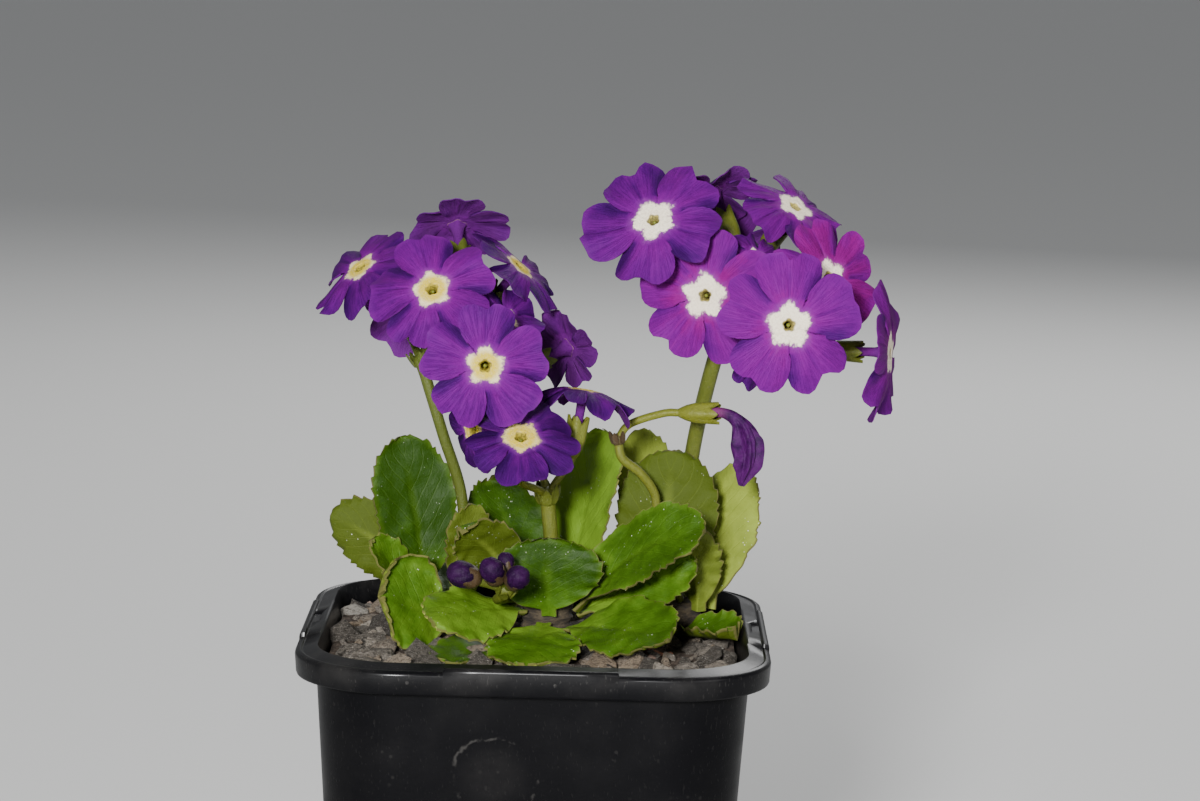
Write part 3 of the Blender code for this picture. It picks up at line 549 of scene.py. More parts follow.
@dataclass(frozen=True)
class BudSkin:
    """A furled violet petal: dark, with a mealy bloom on its folds."""

    name: str
    dark: Colour
    light: Colour
    foot: Colour = (0.02, 0.001, 0.03)
    foot_share: float = 0.0
    meal: Colour = (0.3, 0.2, 0.34)
    dusting: float = 0.06

    def material(self) -> Material:
        """The finish as a material."""
        t = ShaderTree(self.name)
        where = t.place()
        _, along = t.uv()
        cloud = t.noise(where, 1.8 * MM, 4, 0.6)
        fine = t.noise(where, 0.3 * MM, 3, 0.65)
        colour = t.mix(t.step(cloud + along * 0.25, 0.35, 0.85), self.dark, self.light)
        near_foot = t.step(along, self.foot_share + 0.12, self.foot_share - 0.05)
        colour = t.mix(near_foot * 0.85, colour, self.foot)
        colour = t.mix(t.step(fine, 0.56, 0.7) * self.dusting, colour, self.meal)
        t.bump(cloud * 1.2 + fine * 0.4, 0.2 * MM)
        return t.finish(colour, 0.6, Specular_IOR_Level=0.12)


@dataclass(frozen=True)
class StudioFloor:
    """A plain pale floor."""

    pale: Colour = (0.62, 0.62, 0.61)

    def material(self) -> Material:
        """The finish as a material."""
        return ShaderTree("studio_floor").finish(self.pale, 0.9)


# Shapes


def mm(x: float, y: float, z: float) -> Values:
    """A point given in millimetres."""
    return np.array((x, y, z)) * MM


def heading(azimuth: float, elevation: float) -> Values:
    """The unit vector at an azimuth from +X and an elevation above the horizon, in degrees."""
    a, e = math.radians(azimuth), math.radians(elevation)
    return np.array((math.cos(e) * math.cos(a), math.cos(e) * math.sin(a), math.sin(e)))


def unit(vectors: Points) -> Points:
    """The vectors, each scaled to length 1."""
    return vectors / np.maximum(np.linalg.norm(vectors, axis=-1, keepdims=True), 1e-12)


def smooth(value: Values | float, low: float, high: float) -> Values:
    """0 at low, 1 at high, smooth between."""
    t = np.clip((np.asarray(value, float) - low) / (high - low), 0, 1)
    return t * t * (3 - 2 * t)


def through(points: Points, places: Values) -> Points:
    """A smooth curve through points, which runs on straight past its ends.

    Args:
        points: The points that it passes through.
        places: Where it is read: 0 is the first point, and len(points) - 1 the last.

    Returns:
        A point for each place.
    """
    points = np.asarray(points, float)
    ends = np.concatenate([2 * points[:1] - points[1:2], points, 2 * points[-1:] - points[-2:-1]])
    k = np.clip(places.astype(int), 0, len(points) - 2)
    t = (places - k)[:, None]
    a, b, c, d = (ends[k + i] for i in range(4))
    return 0.5 * (2 * b + (c - a) * t + (2 * a - 5 * b + 4 * c - d) * t**2 + (3 * b - a - 3 * c + d) * t**3)


def path_through(points: Sequence[Sequence[float]], count: int) -> Points:
    """count + 1 points along a smooth curve through a few points in millimetres."""
    return through(np.array(points) * MM, np.linspace(0, len(points) - 1, count + 1))


class Form:
    """Points and faces gathered for one piece, with a UV and named values at each point."""

    def __init__(self) -> None:
        """Starts an empty form."""
        self.points: list[Points] = []
        self.uvs: list[Values] = []
        self.values: list[dict[str, Values]] = []
        self.faces: Faces = []
        self.slots: list[int] = []
        self.count = 0

    def add(
        self,
        points: Points,
        faces: Faces,
        uv: Values | None = None,
        slot: int = 0,
        **values: Values | float,
    ) -> None:
        """Adds one closed shape.

        Args:
            points: Its points.
            faces: Its faces, as indices of its own points.
            uv: Two numbers for each point.
            slot: The index of its material.
            values: A number, or one for each point, under each name.
        """
        points = points.reshape(-1, 3)
        count = len(points)
        self.points.append(points)
        self.uvs.append(np.zeros((count, 2)) if uv is None else uv.reshape(-1, 2))
        flat = {key: np.asarray(value, float).ravel() for key, value in values.items()}
        self.values.append({key: np.broadcast_to(value, count) for key, value in flat.items()})
        self.faces += [tuple(i + self.count for i in face) for face in faces]
        self.slots += [slot] * len(faces)
        self.count += count

    def build(self, name: str, *materials: Material, flat: bool = False) -> Piece:
        """Makes an object of the form.

        Args:
            name: The object's name.
            materials: Its materials, in the order of their slots.
            flat: True for flat faces, as on loose stones and on the floor.

        Returns:
            The object.
        """
        mesh = bpy.data.meshes.new(name)
        mesh.from_pydata(np.concatenate(self.points).tolist(), [], self.faces)
        corners = np.zeros(len(mesh.loops), np.int32)
        mesh.loops.foreach_get("vertex_index", corners)
        layer = mesh.uv_layers.new(name="UVMap")
        layer.data.foreach_set("uv", np.concatenate(self.uvs)[corners].astype(np.float32).ravel())
        for key in sorted({k for each in self.values for k in each}):
            parts = [each.get(key, np.zeros(len(p))) for each, p in zip(self.values, self.points)]
            data = mesh.attributes.new(key, "FLOAT", "POINT").data
            data.foreach_set("value", np.concatenate(parts).astype(np.float32))
        mesh.polygons.foreach_set("material_index", np.array(self.slots, np.int32))
        if not flat:
            mesh.shade_smooth()
            mesh.set_sharp_from_angle(angle=SHARP)
        for material in materials:
            mesh.materials.append(material)
        mesh.update()
        obj = bpy.data.objects.new(name, mesh)
        bpy.context.scene.collection.objects.link(obj)
        return obj


def plate(front: Points, back: Points) -> tuple[Points, Faces]:
    """A closed plate between two grids.

    Args:
        front: The front's points. Its rows run one way, and its columns to the left of that.
        back: The back's, row for row and column for column.

    Returns:
        The plate's points and faces.
    """
    rows, columns = front.shape[:2]
    total = rows * columns
    index = np.arange(total).reshape(rows, columns)
    quads = np.stack([index[:-1, :-1], index[1:, :-1], index[1:, 1:], index[:-1, 1:]], -1).reshape(-1, 4)
    rim = np.concatenate([index[:, 0], index[-1, 1:], index[-2::-1, -1], index[0, -2:0:-1]])
    ahead = np.roll(rim, -1)
    strips = np.stack([ahead, rim, rim + total, ahead + total], -1)
    faces = np.concatenate([quads, quads[:, ::-1] + total, strips])
    return np.concatenate([front.reshape(-1, 3), back.reshape(-1, 3)]), list(map(tuple, faces.tolist()))


def bands(count: int, sides: int) -> Faces:
    """The faces between closed rings, each with so many sides."""
    index = np.arange(count * sides).reshape(count, sides)
    ahead = np.roll(index, -1, axis=1)
    quads = np.stack([index[:-1], ahead[:-1], ahead[1:], index[1:]], -1).reshape(-1, 4)
    return list(map(tuple, quads.tolist()))


def skin(rings: Points, start: Points | None = None, end: Points | None = None) -> tuple[Points, Faces]:
    """A closed skin through rings.

    Args:
        rings: The rings, each with as many points as the others.
        start: The point that closes the first ring, or None for its middle.
        end: The point that closes the last ring, or None for its middle.

    Returns:
        The skin's points, the two end points last, and its faces.
    """
    count, sides = rings.shape[:2]
    tips = [rings[0].mean(0) if start is None else start, rings[-1].mean(0) if end is None else end]
    total = count * sides
    turns = [(i, (i + 1) % sides) for i in range(sides)]
    faces = bands(count, sides)
    faces += [(total, b, a) for a, b in turns]
    faces += [(total + 1, total - sides + a, total - sides + b) for a, b in turns]
    return np.concatenate([rings.reshape(-1, 3), np.array(tips)]), faces


def sweep(path: Points, radii: Values, sides: int = 16, lobes: float = 0.0) -> tuple[Points, Faces]:
    """A closed tube along a path.

    Args:
        path: The points of its axis.
        radii: Its radius at each of them.
        sides: Points round each ring.
        lobes: How deep its five shallow lobes are, as a share of the radius.

    Returns:
        The tube's points and faces.
    """
    tangents = unit(np.gradient(path, axis=0))
    normal = unit(np.cross(tangents[0], (0.3, 1.0, 0.2)))
    turns = np.arange(sides) / sides * TURN
    rings = []
    for place, tangent, radius in zip(path, tangents, radii):
        normal = unit(normal - tangent * normal.dot(tangent))
        other = np.cross(tangent, normal)
        reach = (radius * (1 + lobes * np.cos(5 * turns)))[:, None]
        rings.append(place + reach * (np.cos(turns)[:, None] * normal + np.sin(turns)[:, None] * other))
    return skin(np.array(rings), path[0], path[-1])


def lathe(
    profile: Sequence[tuple[float, float]], sides: int, frame: Matrix, warp: Callable | None = None
) -> tuple[Points, Faces]:
    """A turned shape.

    Args:
        profile: (radius, height) pairs, from the axis at the bottom, round outside, and back to the axis.
        sides: Points round each ring.
        frame: Where the axis stands.
        warp: Takes arrays of the radius, the height and the turn, and gives a new radius and height.

    Returns:
        Its points and faces.
    """
    turns = np.arange(sides) / sides * TURN
    radius, height = (np.repeat(np.array(profile)[:, i : i + 1], sides, 1) for i in (0, 1))
    if warp:
        radius, height = warp(radius, height, turns[None, :])
    local = np.stack([radius * np.cos(turns), radius * np.sin(turns), height], -1)
    points, faces = skin(local[1:-1], local[0, 0], local[-1, 0])
    return placed(points, frame), faces


def placed(points: Points, frame: Matrix) -> Points:
    """The points moved into a frame."""
    m = np.array(frame)
    return points @ m[:3, :3].T + m[:3, 3]


def along_uv(along: Values) -> Values:
    """A UV that only says how far along a shape each point lies."""
    return np.stack([np.zeros_like(along), along], -1)


def frame_at(place: Points, facing: Points, spin: float = 0.0) -> Matrix:
    """A frame whose +Z faces a given way.

    Args:
        place: Where it stands.
        facing: The way that its +Z faces.
        spin: How far it is turned about that, in radians.

    Returns:
        The frame.
    """
    turn = Vector(facing).to_track_quat("Z", "Y").to_matrix().to_4x4()
    return Matrix.Translation(Vector(place)) @ turn @ Matrix.Rotation(spin, 4, "Z")


def dress(piece: Piece, node: str) -> Piece:
    """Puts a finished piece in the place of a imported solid.

    Args:
        piece: The finished piece.
        node: The name of the solid's node.

    Returns:
        The piece.
    """
    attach(piece, BODY)
    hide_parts(node)
    LOG.info("%s stands for %s, %d faces", piece.name, node, len(piece.data.polygons))
    return piece


# Pot


class Corner(NamedTuple):
    """A corner of the pot's wall in section: half width, corner radius, height, tab rise and fillet."""

    half: float
    corner: float
    height: float
    rise: float = 0.0
    fillet: float = 0.4 * MM


@dataclass
class Pot:
    """The square nursery pot: a tapered shell with a stepped rim, drain holes and moulded slots."""

    side: float = 90 * MM
    height: float = 98 * MM
    rim_corner: float = 20 * MM
    rim_width: float = 4.4 * MM
    rim_height: float = 4.2 * MM
    rim_crown: float = 1.3 * MM
    rim_taper: float = 0.3 * MM
    tab_rise: float = 0.9 * MM
    tab_half: float = 16 * MM
    tab_slope: float = 0.2 * MM
    body_top: float = 81.8 * MM
    body_base: float = 70 * MM
    body_corner: float = 16.5 * MM
    base_corner: float = 12 * MM
    wall: float = 1.3 * MM
    base_edge: float = 1.2 * MM
    ledge: float = 1.1 * MM
    ledge_rise: float = 0.45 * MM
    ledge_drop: float = 0.35 * MM
    ledge_slope: float = 0.3 * MM
    drain_radius: float = 4 * MM
    drain_offset: float = 22 * MM
    drain_sides: int = 28
    slot_size: Place = (1.5 * MM, 7 * MM, 1.6 * MM)
    slot_inset: float = 2.1 * MM
    corner_steps: int = 14
    side_steps: int = 5

    def ring(self, half: float, corner: float, height: float, rise: float = 0.0) -> Points:
        """A ring round a square with round corners.

        Args:
            half: Half the width of the square.
            corner: The radius of its corners.
            height: The height of the ring.
            rise: How much higher the middle stretch of each side stands.

        Returns:
            Its points, anticlockwise from the +X side.
        """
        straight = half - corner
        tab = min(self.tab_half, straight * 0.8)
        side = [(-tab - self.tab_slope, 0.0), (-tab, rise)]
        side += [(-tab + 2 * tab * i / self.side_steps, rise) for i in range(1, self.side_steps)]
        side += [(tab, rise), (tab + self.tab_slope, 0.0)]
        local = [(half, along, height + up) for along, up in side]
        for step in range(self.corner_steps + 1):
            a = math.radians(90 * step / self.corner_steps)
            local.append((straight + corner * math.cos(a), straight + corner * math.sin(a), height))
        quarter = np.array(local)
        turned = []
        for k in range(4):
            c, s = round(math.cos(k * TURN / 4)), round(math.sin(k * TURN / 4))
            turned.append(quarter @ np.array(((c, s, 0), (-s, c, 0), (0, 0, 1))))
        return np.concatenate(turned)

    def wall_at(self, height: float, inset: float = 0.0) -> tuple[float, float]:
        """Reads the body's wall.

        Args:
            height: Where it is read.
            inset: How far in from the outside.

        Returns:
            Half the width and the corner radius there.
        """
        share = height / (self.height - self.rim_crown - self.rim_height)
        half = self.body_base / 2 + (self.body_top - self.body_base) / 2 * share
        return half - inset, self.base_corner + (self.body_corner - self.base_corner) * share - inset

    def section(self) -> list[Corner]:
        """The corners of the wall, from under the base, up outside, over the rim and down inside."""
        top = self.height - self.rim_crown
        low = top - self.rim_height
        half, edge, tab = self.side / 2, self.base_edge, self.tab_rise
        inner, corner = half - self.ledge, self.rim_corner - self.ledge
        raised = top + self.ledge_rise
        return [
            Corner(self.body_base / 2 - edge, self.base_corner - edge, 0, fillet=0.3 * MM),
            Corner(*self.wall_at(self.base_edge), self.base_edge),
            Corner(*self.wall_at(low - 1.5 * MM), low - 1.5 * MM, fillet=1 * MM),
            Corner(*self.wall_at(low), low, fillet=0.5 * MM),
            Corner(half - self.rim_taper, self.rim_corner - self.rim_taper, low, fillet=0.45 * MM),
            Corner(half, self.rim_corner, top, tab, fillet=0.5 * MM),
            Corner(inner, corner, raised, tab * 0.8, fillet=0.2 * MM),
            Corner(inner - self.ledge_slope, corner, raised - self.ledge_drop, tab * 0.5, fillet=0.2 * MM),
            Corner(half - self.rim_width, self.rim_corner - self.rim_width, self.height, fillet=0.5 * MM),
            Corner(*self.wall_at(low, self.wall), low, fillet=1 * MM),
            Corner(*self.wall_at(self.wall, self.wall), self.wall, fillet=0.8 * MM),
        ]

    def build(self) -> Piece:
        """Makes the shell, then cuts its drain holes and the two slots in its rim."""
        corners = [np.array(c[:4]) for c in self.section()]
        fillets = [c.fillet for c in self.section()]
        stations = [corners[0]]
        for before, here, after, fillet in zip(corners, corners[1:], corners[2:], fillets[1:]):
            back, ahead = before - here, after - here
            a = here + back * min(0.45, fillet / np.hypot(back[0], back[2]))
            b = here + ahead * min(0.45, fillet / np.hypot(ahead[0], ahead[2]))
            stations += [a, (a + 2 * here + b) / 4, b]
        stations.append(corners[-1])
        rings = np.array([self.ring(*s) for s in stations])
        form = Form()
        form.add(*skin(rings))
        pot = form.build("pot_shell", PotPlastic().material())
        self.cut(pot)
        return dress(pot, "pot")

    def cut(self, pot: Piece) -> None:
        """Takes the drain holes and the rim's slots out of the shell.

        Args:
            pot: The shell.
        """
        tools = Form()
        for x in (-1, 1):
            place = Matrix.Translation((x * (self.side / 2 - self.slot_inset), 0, self.height))
            square = ((-0.5, -0.5), (0.5, -0.5), (0.5, 0.5), (-0.5, 0.5))
            box = np.array([(i, j, k) for k in (-0.5, 0.5) for i, j in square])
            tools.add(*skin(placed(box * self.slot_size, place).reshape(2, 4, 3)))
            for y in (-1, 1):
                drain = Matrix.Translation((x * self.drain_offset, y * self.drain_offset, 0))
                profile = [(0, -self.wall), (self.drain_radius, -self.wall)]
                profile += [(self.drain_radius, 2 * self.wall), (0, 2 * self.wall)]
                tools.add(*lathe(profile, self.drain_sides, drain))
        cutter = tools.build("pot_cutters")
        modifier = pot.modifiers.new("openings", "BOOLEAN")
        modifier.operation = "DIFFERENCE"
        modifier.object = cutter
        modifier.solver = "EXACT"
        flatten(pot)
        bpy.data.objects.remove(cutter)


def flatten(obj: Piece) -> None:
    """Turns an object's modifiers into plain mesh.

    Args:
        obj: The object.
    """
    bpy.context.view_layer.update()
    graph = bpy.context.evaluated_depsgraph_get()
    mesh = bpy.data.meshes.new_from_object(obj.evaluated_get(graph))
    obj.modifiers.clear()
    old = obj.data
    obj.data = mesh
    mesh.name = old.name + "_final"
    bpy.data.meshes.remove(old)


# Compost


class Pebble(NamedTuple):
    """A layer of loose stones: how many to the square metre, their sizes, shape and corners, and their seed.

    rise is how far they stand up out of the surface, in millimetres, and apart how close they lie.
    """

    name: str
    density: float
    smallest: float
    largest: float
    shape: Place
    corners: int
    rise: float
    seed: int
    apart: float


@dataclass
class CompostBed:
    """The compost in the pot, with its sunk stones, and the loose grit scattered on it."""

    pot: Pot
    top: float = 92.6 * MM
    tilt: float = 0.028
    lump: float = 1.1 * MM
    lump_pitch: float = 9 * MM
    chip_count: int = 18
    chip_seed: int = 11
    chip_smallest: float = 2.2 * MM
    chip_largest: float = 4.2 * MM
    chip_tilt: float = 0.4
    chip_spacing: float = 5.5 * MM
    chip_clear: float = 31 * MM
    chip_reach: float = 36 * MM
    chip_wall_reach: float = 35.5 * MM
    chip_corner_reach: float = 45 * MM
    chip_points: int = 12
    chip_flatness: Place = (1, 0.7, 0.42)
    crumb_pitch: float = 2.4 * MM
    crumb_height: float = 0.35 * MM
    grit_inset: float = 2.2 * MM
    rings: int = 44
    layers: tuple[Pebble, ...] = (
        Pebble("grit_flakes", 60000, 3.0 * MM, 6.0 * MM, (1, 0.78, 0.48), 28, -0.1, 4, 4.4 * MM),
        Pebble("grit_crumbs", 200000, 0.8 * MM, 1.8 * MM, (1, 0.8, 0.55), 12, 0.3, 9, 1.6 * MM),
    )

    def height(self, x: float, y: float) -> float:
        """The height of the surface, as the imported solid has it."""
        lump = noise.noise(Vector((x, y, 0.37 * MM)) / self.lump_pitch)
        return self.top - self.tilt * x + self.lump * lump

    def rough(self, x: float, y: float) -> float:
        """The height of the surface with its crumbs."""
        crumbs = noise.fractal(Vector((x, y, 5 * MM)) / self.crumb_pitch, 0.8, 2.1, 4)
        return self.height(x, y) + self.crumb_height * crumbs

    def surface(self, inset: float) -> Points:
        """Rings over the surface.

        Args:
            inset: How far the first ring lies in from the outside of the pot's wall.

        Returns:
            The rings, from the wall to the middle.
        """
        edge = self.top - 1 * MM
        outer = self.pot.ring(*self.pot.wall_at(edge, inset), 0)
        shares = np.linspace(1, 0.5 / self.rings, self.rings)
        grid = outer[None, :, :] * shares[:, None, None]
        flat = grid.reshape(-1, 3)
        flat[:, 2] = [self.rough(x, y) for x, y in flat[:, :2]]
        return grid

    def build(self) -> Piece:
        """The bed as one piece, with the stones that the solid has."""
        inset = self.pot.wall + GAP
        low = self.pot.wall + GAP
        foot = self.pot.ring(*self.pot.wall_at(low, inset), low)
        form = Form()
        form.add(*skin(np.concatenate([foot[None], self.surface(inset)])), slot=0)
        for centre, size, turn, bumps in self.chips():
            points, faces = stone(bumps, tuple(share * size for share in self.chip_flatness))
            tone = 0.3 + 0.5 * bumps.random()
            form.add(placed(points, Matrix.Translation(centre) @ turn), faces, slot=1, tone=tone)
        bed = form.build("compost_bed", Compost().material(), GritStone().material())
        return dress(bed, "compost")

    def chips(self) -> list[tuple[Vector, float, Matrix, Random]]:
        """Draws the sunk stones in the same order as the solid does, so that they lie where its own lie.

        Returns:
            Each stone's place, size and turn, and the source of its bumps.
        """
        rng = Random(self.chip_seed)
        found: list[tuple[Vector, float, Matrix, Random]] = []
        while len(found) < self.chip_count:
            x = rng.uniform(-self.chip_reach, self.chip_reach)
            y = rng.uniform(-self.chip_reach, self.chip_reach)
            size = rng.uniform(self.chip_smallest, self.chip_largest)
            turn = Matrix.Rotation(rng.uniform(-self.chip_tilt, self.chip_tilt), 4, "X")
            turn @= Matrix.Rotation(rng.uniform(-self.chip_tilt, self.chip_tilt), 4, "Y")
            turn @= Matrix.Rotation(rng.uniform(0, math.pi), 4, "Z")
            centre = Vector((x, y, self.height(x, y)))
            taken = any((centre - other[0]).xy.length < self.chip_spacing for other in found)
            near = math.hypot(x, y) < self.chip_clear
            at_wall = max(abs(x), abs(y)) + 0.45 * size > self.chip_wall_reach
            if taken or near or at_wall or math.hypot(x, y) > self.chip_corner_reach:
                continue
            for _ in range(self.chip_points):
                rng.random()
            found.append((centre, size, turn, Random(len(found))))
        return found

    def scatter(self) -> None:
        """Loose stones over the surface, in layers."""
        grid = self.surface(self.pot.wall + self.grit_inset)[:-1]
        for layer in self.layers:
            form = Form()
            form.add(grid, bands(*grid.shape[:2]))
            piece = form.build(layer.name)
            scatter_stones(piece, layer, GritStone().material())
            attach(piece, BODY)
            LOG.info("%s, %d faces", piece.name, len(piece.data.polygons))


STONE_KINDS = 6
STONE_PLANES = 11
STONE_TILT = 0.8


def ball_points() -> tuple[Points, Faces]:
    """The points and faces of an icosahedron whose faces are split twice, on a ball."""
    bm = bmesh.new()
    bmesh.ops.create_icosphere(bm, subdivisions=3, radius=1.0)
    points = np.array([v.co[:] for v in bm.verts])
    faces = [tuple(v.index for v in f.verts) for f in bm.faces]
    bm.free()
    return points, faces


def stone(rng: Random, size: Place) -> tuple[Points, Faces]:
    """An angular stone: a ball cut back by planes, roughened, then flattened.

    Args:
        rng: Where its planes and bumps come from.
        size: Half its length, width and height.

    Returns:
        Its points and faces.
    """
    points, faces = ball_points()
    for _ in range(STONE_PLANES):
        facing = unit(np.array([rng.gauss(0, 1) for _ in range(3)]))
        depth = rng.uniform(0.62, 0.9)
        over = np.maximum(points @ facing - depth, 0)
        points = points - over[:, None] * facing
    seed = Vector((rng.uniform(0, 50), rng.uniform(0, 50), 0))
    bumps = np.array([noise.fractal(Vector(p) * 2.2 + seed, 0.7, 2.2, 3) for p in points])
    return points * (1.08 + 0.09 * bumps[:, None]) * np.array(size), faces


def chip(rng: Random, layer: Pebble) -> Piece:
    """A loose stone with few corners: the hull of points on a ball, flattened.

    Args:
        rng: Where its corners come from.
        layer: The layer that it belongs to.

    Returns:
        The stone as an object, about 1 m in radius before it is scattered.
    """
    bm = bmesh.new()
    for _ in range(layer.corners):
        bm.verts.new(Vector([rng.gauss(0, 1) for _ in range(3)]).normalized() * rng.uniform(0.8, 1.1))
    bmesh.ops.convex_hull(bm, input=bm.verts[:])
    bmesh.ops.delete(bm, geom=[v for v in bm.verts if not v.link_faces], context="VERTS")
    bmesh.ops.recalc_face_normals(bm, faces=bm.faces[:])
    bm.verts.index_update()
    form = Form()
    points = np.array([v.co[:] for v in bm.verts]) * np.array(layer.shape)
    form.add(points, [tuple(v.index for v in f.verts) for f in bm.faces])
    bm.free()
    return form.build(f"{layer.name}_kind", flat=True)


def scatter_stones(piece: Piece, layer: Pebble, material: Material) -> None:
    """Replaces a surface with stones scattered on it, by a Geometry Nodes tree.

    Args:
        piece: The surface.
        layer: The layer of stones.
        material: Their finish.
    """
    tree = bpy.data.node_groups.new(layer.name + "_scatter", "GeometryNodeTree")
    face = tree.interface
    face.new_socket("Geometry", in_out="INPUT", socket_type="NodeSocketGeometry")
    face.new_socket("Geometry", in_out="OUTPUT", socket_type="NodeSocketGeometry")
    sizes = {
        "Density": layer.density,
        "Apart": layer.apart,
        "Smallest": layer.smallest,
        "Largest": layer.largest,
    }
    for name in sizes:
        face.new_socket(name, in_out="INPUT", socket_type="NodeSocketFloat")
    nodes = GeometryTree(tree)
    given = nodes.add("NodeGroupInput")
    spread = nodes.add(
        "GeometryNodeDistributePointsOnFaces",
        {"distribute_method": "POISSON"},
        {
            "Mesh": given.outputs["Geometry"],
            "Density Max": given.outputs["Density"],
            "Distance Min": given.outputs["Apart"],
            "Seed": layer.seed,
        },
    )
    shapes = nodes.add("GeometryNodeGeometryToInstance")
    kinds = [chip(Random(layer.seed * STONE_KINDS + k), layer) for k in range(STONE_KINDS)]
    for kind in kinds:
        info = nodes.add("GeometryNodeObjectInfo", inputs={"Object": kind})
        nodes.link(info.outputs["Geometry"], shapes.inputs[0])
    low_turn, high_turn = (-STONE_TILT, -STONE_TILT, 0.0), (STONE_TILT, STONE_TILT, TURN)
    tilt = nodes.random("FLOAT_VECTOR", {0: low_turn, 1: high_turn}, layer.seed + 1)
    size = nodes.random("FLOAT", {2: given.outputs["Smallest"], 3: given.outputs["Largest"]}, layer.seed + 2)
    pick = nodes.random("INT", {4: 0, 5: STONE_KINDS - 1}, layer.seed + 3)
    tone = nodes.random("FLOAT", {2: 0.0, 3: 1.0}, layer.seed + 4)
    stones = nodes.add(
        "GeometryNodeInstanceOnPoints",
        inputs={
            "Points": spread.outputs["Points"],
            "Instance": shapes.outputs[0],
            "Pick Instance": True,
            "Instance Index": pick.outputs[2],
            "Rotation": tilt.outputs[0],
            "Scale": size.outputs[1],
        },
    )
    toned = nodes.add(
        "GeometryNodeStoreNamedAttribute",
        {"data_type": "FLOAT", "domain": "INSTANCE"},
        {"Geometry": stones.outputs[0], "Name": "tone", "Value": tone.outputs[1]},
    )
    sunk = nodes.add(
        "GeometryNodeTranslateInstances",
        inputs={"Instances": toned.outputs[0], "Translation": (0, 0, layer.rise * MM), "Local Space": False},
    )
    real = nodes.add("GeometryNodeRealizeInstances", inputs={"Geometry": sunk.outputs[0]})
    dressed = nodes.add("GeometryNodeSetMaterial", inputs={"Geometry": real.outputs[0], "Material": material})
    nodes.link(dressed.outputs[0], nodes.add("NodeGroupOutput").inputs[0])
    modifier = piece.modifiers.new("scatter", "NODES")
    modifier.node_group = tree
    for item in face.items_tree:
        if item.in_out == "INPUT" and item.name in sizes:
            modifier[item.identifier] = sizes[item.name]
    flatten(piece)
    for kind in kinds:
        bpy.data.objects.remove(kind)


class GeometryTree:
    """A Geometry Nodes tree that is written node by node."""

    def __init__(self, tree: bpy.types.NodeTree) -> None:
        """Wraps a tree."""
        self.tree = tree

    def add(self, kind: str, settings: dict | None = None, inputs: dict | None = None) -> bpy.types.Node:
        """Adds a node.

        Args:
            kind: The node's type.
            settings: Its properties, set first.
            inputs: A value, or an output to link, for each named or numbered socket.

        Returns:
            The node.
        """
        made = self.tree.nodes.new(kind)
        for key, value in (settings or {}).items():
            setattr(made, key, value)
        for key, value in (inputs or {}).items():
            if isinstance(value, bpy.types.NodeSocket):
                self.link(value, made.inputs[key])
            else:
                made.inputs[key].default_value = value
        return made

    def random(self, kind: str, limits: dict, seed: int) -> bpy.types.Node:
        """Adds a random value between two limits, which are given under their sockets' numbers."""
        return self.add("FunctionNodeRandomValue", {"data_type": kind}, {**limits, "Seed": seed})

    def link(self, source: bpy.types.NodeSocket, target: bpy.types.NodeSocket) -> None:
        """Links two sockets."""
        self.tree.links.new(source, target)


# Rootstock


class Crown(NamedTuple):
    """A shoot of the rootstock that leaves grow from, in millimetres."""

    x: float
    y: float
    radius: float
    top: float


CROWNS = {
    "centre": Crown(2, 1, 5.0, 101.5),
    "left": Crown(-18, 4, 3.8, 101.0),
    "right": Crown(28, 14, 4.2, 100.0),
}


@dataclass
class Rootstock:
    """The woody stem under the leaves: a trunk, a neck to each crown, and roots."""

    neck_height: float = 88
    neck_radius: float = 2.6
    trunk_foot: float = 66
    trunk_foot_radius: float = 3.0
    branch_height: float = 76
    roots: int = 4
    root_reach: float = 15
    root_radii: tuple[float, ...] = (1.5, 1.2, 1.0, 0.6)
    scar: float = 0.35

    def limb(self, form: Form, points: Sequence[Place], radii: Sequence[float], count: int = 40) -> None:
        """Adds one tapered limb, ringed with leaf scars.

        Args:
            form: What it is added to.
            points: The points that it passes through, in millimetres.
            radii: Its radii along it, in millimetres.
            count: The steps that it is drawn in.
        """
        path = path_through(points, count)
        places = np.linspace(0, len(radii) - 1, count + 1)
        sizes = np.interp(places, range(len(radii)), radii)
        ring = np.sin(np.linspace(0, TURN * count / 3.3, count + 1)) * self.scar * smooth(sizes, 1.5, 3.5)
        form.add(*sweep(path, (sizes + ring) * MM, 20, 0.03))

    def build(self) -> Piece:
        """Makes the rootstock."""
        trunk = CROWNS["centre"]
        form = Form()
        x, y = trunk.x, trunk.y
        spine = ((x, y, trunk.top), (x, y, self.neck_height), (x, y + 1, self.trunk_foot))
        self.limb(form, spine, (trunk.radius * 0.96, trunk.radius, self.trunk_foot_radius))
        for side in ("left", "right"):
            crown = CROWNS[side]
            middle = ((crown.x + x) / 2, (crown.y + y) / 2, self.branch_height + 2)
            neck = (crown.x, crown.y, self.neck_height)
            route = ((crown.x, crown.y, crown.top), neck, middle, (x, y, self.branch_height))
            radii = (crown.radius * 0.96, crown.radius, self.neck_radius, 0.92 * self.neck_radius)
            self.limb(form, route, radii)
        for k in range(self.roots):
            out = heading(360 * k / self.roots + 20, 0) * (self.root_reach + 3 * (k % 2))
            route = (
                (x, y + 1, self.trunk_foot + 4),
                (x + out[0] * 0.6, y + out[1] * 0.6, 58),
                (x + out[0], y + out[1], 38),
                (x + out[0] * 0.8, y + out[1] * 0.8, 14 + 4 * (k % 3)),
            )
            self.limb(form, route, self.root_radii, 16)
        return dress(form.build("rootstock_wood", Bark().material()), "rootstock")


# Leaves


